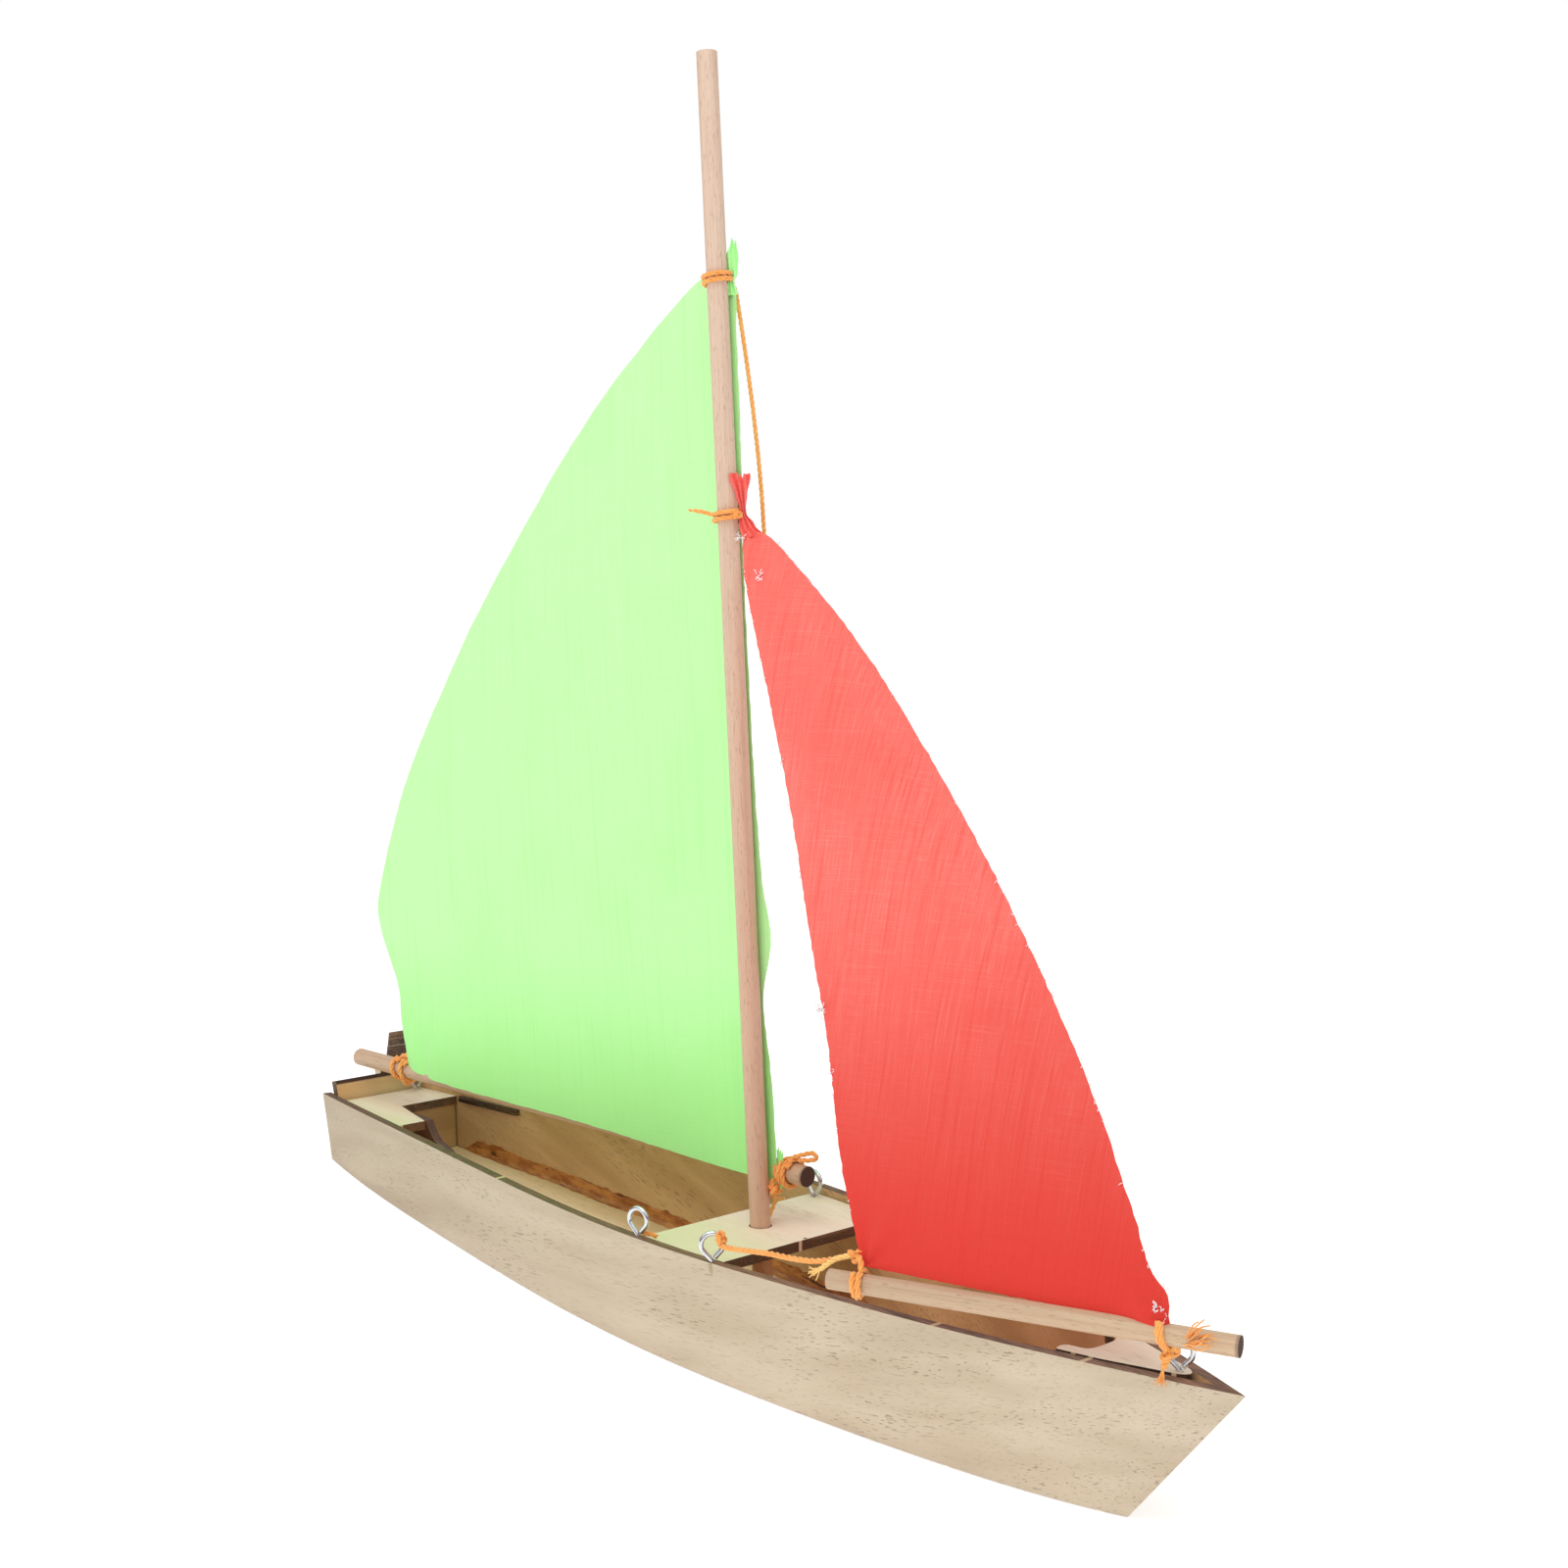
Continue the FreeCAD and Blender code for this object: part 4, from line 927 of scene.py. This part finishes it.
# jib head: two turns, a knot on the fore side and a frayed stub that stands out aft
stub_end = on_mast(206.4, -6.2, -7.4)
cord_piece("jib_head_turns", [
    rope(wound(on_mast(204.2), MAST_UP, MAST_WRAP, 2.2, 1.6, 0.6), HEAD_CORD),
    rope([on_mast(204.8, -1.5, -3.8), on_mast(205.4, -3.2, -4.6), on_mast(206.2, -5.0, -6.2), stub_end],
         CORD * 0.8),
    fray(stub_end, Vector((-0.66, -0.75, 0)), 1.6, 0.6, 9),
    knot(on_mast(204.4, 4.6, -0.6), MAST_UP, 1.5, 1.1)], "hull", node="jib_head_lashing")

# the shroud's ends: its start in the head lashing and its knot on the port fore eye
cord_piece("shroud_head_end", [rope([on_mast(271.6, 0.6, 4.3), on_mast(269.4, 1.6, 5.6), SHROUD_ROUTE[0]],
                                    SHROUD_CORD)], "hull")
cord_piece("shroud_eye_knot", [knot(deck(14.2, 30.2, 8.6), Vector((0.3, 0.9, 0.2)), 1.7, 1.2)], "hull")

# main boom, aft: two rings joined over the top, and a strand that ties the boom to the stern eye
ring_aft = spar_point(BOOM_AFT, BOOM_FORE, 26.5)
ring_fore = spar_point(BOOM_AFT, BOOM_FORE, 31.8)
cord_piece("boom_clew_turns", [
    rope(wound(ring_aft, BOOM_RUN, MAST_WRAP, 1.1, 1.4, 0.2)),
    rope(wound(ring_fore, BOOM_RUN, MAST_WRAP + 0.05, 1.1, 1.6, 0.4)),
    rope([beside(ring_aft, 0, 0, 4.2), beside(ring_aft.lerp(ring_fore, 0.3), 0, 0, 5.0),
          beside(ring_aft.lerp(ring_fore, 0.7), 0, 0, 5.0), beside(ring_fore, 0, 0, 4.2)])],
    "main_boom_body", node="boom_clew_lashing")
tie_end = deck(-210.8, 13.6, 5.2)
tie = cord_piece("boom_stern_tie", [
    rope([beside(ring_fore, 0, -3.8, -1.0), beside(ring_fore, 0.6, -2.6, -4.6), deck(-192.5, 0.0, 7.6),
          deck(-200.0, 6.0, 6.4), deck(-207.0, 11.4, 5.6), tie_end])], None)
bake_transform(tie)

# main boom, fore: three loose turns with a bow on top and a knot that hangs below
boom_tack = spar_point(BOOM_FORE, BOOM_AFT, 7.4)
cord_piece("boom_tack_turns", [
    rope(wound(boom_tack, BOOM_RUN, MAST_WRAP, 3.0, 1.5, 1.0, 0.07)),
    rope([beside(boom_tack, *step) for step in (
        (0.0, 0.0, 3.8), (2.0, -0.5, 5.2), (4.8, 0.8, 6.3), (7.8, 2.0, 7.6), (9.0, 2.6, 5.8), (6.4, 1.2, 4.8),
        (3.4, 0.2, 4.4))], CORD * 0.9),
    knot(deck(2.6, 3.0, 10.6), DECK_UP, 2.0),
    rope([deck(1.6, 3.6, 13.6), deck(1.8, 2.9, 12.2), deck(2.4, 2.6, 11.0), deck(3.0, 2.8, 9.4),
          deck(2.2, 3.4, 8.2)])], "main_boom_body", node="boom_tack_lashing")

# the bent end of cord pushed into the mast hole
cord_piece("mast_foot_wedge", [
    rope([deck(-2.2, 4.9, 0.4), deck(-2.6, 6.6, 2.6), deck(-3.0, 8.4, 5.0), deck(-2.4, 9.0, 5.9),
          deck(-0.8, 9.9, 5.8)], CORD * 0.85)], "hull", YELLOW, "mast_foot_cord")

# the jib sheet's knot on its eye, and the short stub in front of the rear eye
cord_piece("sheet_eye_knot", [
    knot(deck(22.6, -33.2, 8.3), Vector((0.7, 0.6, 0.3)), 1.9),
    rope([deck(21.4, -33.6, 9.4), deck(22.6, -34.4, 9.6), deck(23.8, -35.0, 8.6), deck(24.0, -34.9, 7.2)])],
    "hull")
cord_piece("rear_eye_stub", [
    rope([deck(-10.4, -34.4, 2.3), deck(-9.4, -33.7, 2.5), deck(-8.2, -32.9, 2.3), deck(-7.0, -32.2, 1.8)],
         CORD * 0.9)], "hull")

# jib boom, aft: one ring round the boom and cloth, the knot and a frayed tail
jib_ring = spar_point(JIB_AFT, JIB_FORE, 8.6)
cord_piece("jib_clew_turns", [
    rope(wound(jib_ring, JIB_RUN, JIB_WRAP, 1.3, 1.5, 0.5)),
    knot(deck(76.6, -33.9, 16.9), Vector((0.5, -0.5, 0.7)), 1.9),
    rope([deck(78.2, -34.4, 16.9), deck(79.8, -35.0, 16.0), deck(80.6, -36.2, 14.2)])],
    "jib_boom_body", node="jib_clew_lashing")
tail_end = deck(65.4, -35.4, 11.3)
cord_piece("jib_clew_tail", [
    rope([deck(75.8, -34.4, 16.8), deck(71.6, -35.2, 15.6), deck(67.8, -35.4, 13.2), deck(65.0, -35.4, 11.0)],
         CORD * 0.95),
    fray(tail_end, deck(61.4, -35.6, 8.9) - tail_end, 4.8, 0.5, 14, 0.24)], "jib_boom_body", YELLOW)

# jib boom, fore: the cloth's tie, its knot on the bow eye and two frayed tails
fore_knot = deck(153.1, -6.3, 6.4)
tack_cord = cord_piece("jib_tack_turns", [
    rope([deck(151.9, -8.8, 14.0), deck(152.4, -10.0, 11.8), deck(152.6, -9.4, 9.4), deck(152.8, -7.6, 7.6),
          fore_knot]),
    rope([deck(152.5, -8.6, 13.8), deck(153.2, -9.8, 11.6), deck(153.4, -9.0, 9.0), deck(153.4, -7.2, 7.2),
          fore_knot], CORD * 0.9)], None, node="jib_tack_lashing")
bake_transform(tack_cord)
low_tail, fore_tail = deck(152.3, -7.2, 2.8), deck(154.8, -5.7, 7.9)
cord_piece("bow_eye_knot", [
    knot(fore_knot, Vector((0.6, -0.6, 0.5)), 2.2, 1.5),
    rope([fore_knot, deck(153.0, -4.2, 6.6), deck(151.8, -2.0, 6.0), deck(151.4, -1.4, 5.2)]),
    rope([fore_knot, deck(153.4, -6.9, 4.8), deck(152.2, -7.2, 2.6)], CORD * 1.15),
    fray(low_tail, deck(151.6, -7.2, -1.6) - low_tail, 4.6, 0.45, 18, 0.2),
    rope([fore_knot, deck(154.2, -5.9, 7.4), deck(155.0, -5.6, 8.1)], CORD * 0.95),
    fray(fore_tail, deck(165.4, -6.0, 14.2) - deck(156.5, -5.0, 8.4), 12.6, 0.3, 16, 0.3)], "hull")

# ------------------------ torn threads at the jib's edges

WHITE_THREAD = thread_material("white_thread", rgb(246, 226, 226))
PINK_THREAD = thread_material("pink_thread", rgb(250, 176, 170))
# x, y, spread and number of threads at the tack, the head and a few places on the edges
JIB_TEARS = [(75.7, 3.2, 0.7, 12), (76.7, 2.1, 0.7, 14), (77.6, 1.0, 0.5, 9), (-75.4, 193.0, 1.2, 16),
             (-23.8, 62.3, 0.9, 22), (-66.6, 181.0, 1.2, 10)]
EDGE_THREADS = 90


def fringe(name, spots, place, material, length):
    """Loose threads that stand out of the jib at each spot."""
    parts = []
    for x, y, spread, count in spots:
        for _ in range(count):
            a = Vector((x + rng.uniform(-1, 1) * spread, y + rng.uniform(-1, 1) * spread, 0.35))
            b = a + Vector((rng.uniform(-1, 1), rng.uniform(-1, 1), 0.5)) * length
            line = [place(*a), place(*(a.lerp(b, 0.5) + Vector((0.2, 0.2, 0.3)))), place(*b)]
            parts.append(sweep(line, 0.13 * MM, 4))
    piece(name, *gather(parts), material, "jib_boom_body", "red_cloth")


fringe("jib_torn_threads", JIB_TEARS, lambda x, y, out: jib_at(x, y, out + 0.8), WHITE_THREAD, 1.4)
edge_spots = []
for k in range(EDGE_THREADS):
    p = smooth_through(JIB_LUFF if k % 2 else JIB_LEECH, rng.uniform(0.03, 0.97))
    edge_spots.append((p.x, p.y, 0.3, 1))
fringe("jib_edge_threads", edge_spots, lambda x, y, out: jib_at(x, y, out * 0.4), PINK_THREAD, 0.9)

# ------------------------ glue along the chines

GLUE_STEP = 1.2
GLUE_END = 8.0             # the bead tapers over this length
ON_SIDE = ((1.0, 0.04), (0.8, 0.2), (0.45, 0.34))      # share of the bead's height, and its lift
ON_BOARD = ((0.4, 0.32), (0.8, 0.18), (1.0, 0.04))     # share of its width, and its lift
IN_CORNER = (0.35, 0.5)                                # height and lift


def surface(node):
    """A search tree of a CAD node's surface."""
    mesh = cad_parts[node].data
    return BVHTree.FromPolygons([v.co.copy() for v in mesh.vertices],
                                [tuple(p.vertices) for p in mesh.polygons])


def glue_bead(name, side, low, high):
    """An uneven ribbon of glue in the corner between the bottom board and a side panel."""
    panel = surface("side_panel_port" if side > 0 else "side_panel_starboard")
    outward = Vector((0, side, 0))
    points, rows = [], 0
    steps = int((high - low) / GLUE_STEP)
    for k in range(steps + 1):
        x = low + (high - low) * k / steps

        def uneven(scale, seed):
            return noise.noise(Vector((x * scale, side, seed)))
        ends = ease(min(x - low, high - x), 0, GLUE_END)
        tall = max(0.5, 4.4 + 1.9 * uneven(0.05, 0) + 0.9 * uneven(0.3, 4)) * ends + 0.2
        wide = max(0.4, 1.0 + 0.9 * uneven(0.04, 9) + 0.8 * uneven(0.35, 6)) * ends + 0.2
        row = []
        for height, lift in [(tall * share, lift) for share, lift in ON_SIDE] + [IN_CORNER]:
            hit = panel.ray_cast(Vector((x, 0, BOARD + height)) * MM, outward)[0]
            if hit is not None:
                row.append(hit - outward * lift * MM)
        if len(row) <= len(ON_SIDE):
            continue
        corner = row[-1].y
        row += [Vector((x * MM, corner - side * wide * share * MM, (BOARD + lift) * MM))
                for share, lift in ON_BOARD]
        points += row
        rows += 1
    piece(name, points, grid_faces(len(row) - 1, rows - 1), GLUE, "hull", "hull_ply")


glue_bead("glue_bead_port", 1, -188.0, 112.0)
glue_bead("glue_bead_starboard", -1, -156.0, 112.0)

# ------------------------ room and light

FLOOR_REACH, FLOOR_DROP = 5.0, 0.0002
FLOOR_GLOW = 0.38
LIGHT_TARGET = Vector((-0.02, 0, 0.12))
SKY_LIGHT = (0.74, 0.74, 0.74, 1)
# what glossy surfaces see, from straight down to straight up
SKY_STOPS = ((0.0, (0.5, 0.5, 0.5, 1)), (0.18, (0.08, 0.08, 0.09, 1)), (0.34, (0.5, 0.5, 0.52, 1)),
             (0.55, (0.98, 0.98, 0.98, 1)))


def paper_floor():
    """A large sheet of pale paper just under the boat."""
    mesh = bpy.data.meshes.new("floor")
    mesh.from_pydata([(x * FLOOR_REACH, y * FLOOR_REACH, -FLOOR_DROP)
                      for x, y in ((-1, -1), (1, -1), (1, 1), (-1, 1))], [], [(0, 1, 2, 3)])
    t = Tree("paper")
    tone = t.noise(t.point, (0.002, 0.002, 0.002))
    mesh.materials.append(t.finish(t.mix(tone, (0.93, 0.93, 0.93, 1), (0.97, 0.97, 0.97, 1)), 0.9,
                                   Emission_Color=WHITE, Emission_Strength=FLOOR_GLOW))
    placed("floor", mesh)


def softbox(name, where, size, power):
    """A round soft light turned to the boat."""
    lamp = bpy.data.lights.new(name, "AREA")
    lamp.shape, lamp.size, lamp.energy = "DISK", size, power
    made = placed(name, lamp)
    made.location = where
    made.rotation_euler = (LIGHT_TARGET - Vector(where)).to_track_quat("-Z", "Y").to_euler()


def studio_world():
    """An even white studio, with darker bands that only reflections see."""
    world = bpy.data.worlds.new("studio")
    bpy.context.scene.world = world
    t = Tree("studio", world)
    split = t.nodes.new("ShaderNodeSeparateXYZ")
    t.plug(t.direction, split.inputs[0])
    ramp = t.nodes.new("ShaderNodeValToRGB")
    stops = ramp.color_ramp.elements
    stops[0].position, stops[-1].position = SKY_STOPS[0][0], SKY_STOPS[-1][0]
    for place, _ in SKY_STOPS[1:-1]:
        stops.new(place)
    for stop, (_, colour) in zip(stops, SKY_STOPS):
        stop.color = colour
    t.plug(split.outputs[2], ramp.inputs[0])
    rays = t.nodes.new("ShaderNodeLightPath").outputs
    light = t.mix(rays["Is Glossy Ray"], SKY_LIGHT, ramp.outputs[0])
    sky = t.nodes.new("ShaderNodeBackground")
    t.plug(t.mix(rays["Is Camera Ray"], light, WHITE), sky.inputs[0])
    out = t.nodes.new("ShaderNodeOutputWorld")
    t.plug(sky.outputs[0], out.inputs[0])


paper_floor()
softbox("key", (0.15, -0.5, 1.35), 1.2, 6.5)
softbox("fill", (-0.3, -1.3, 0.6), 1.0, 0.6)
studio_world()
bpy.context.scene.view_settings.view_transform = "Standard"
bpy.context.scene.view_settings.look = "None"
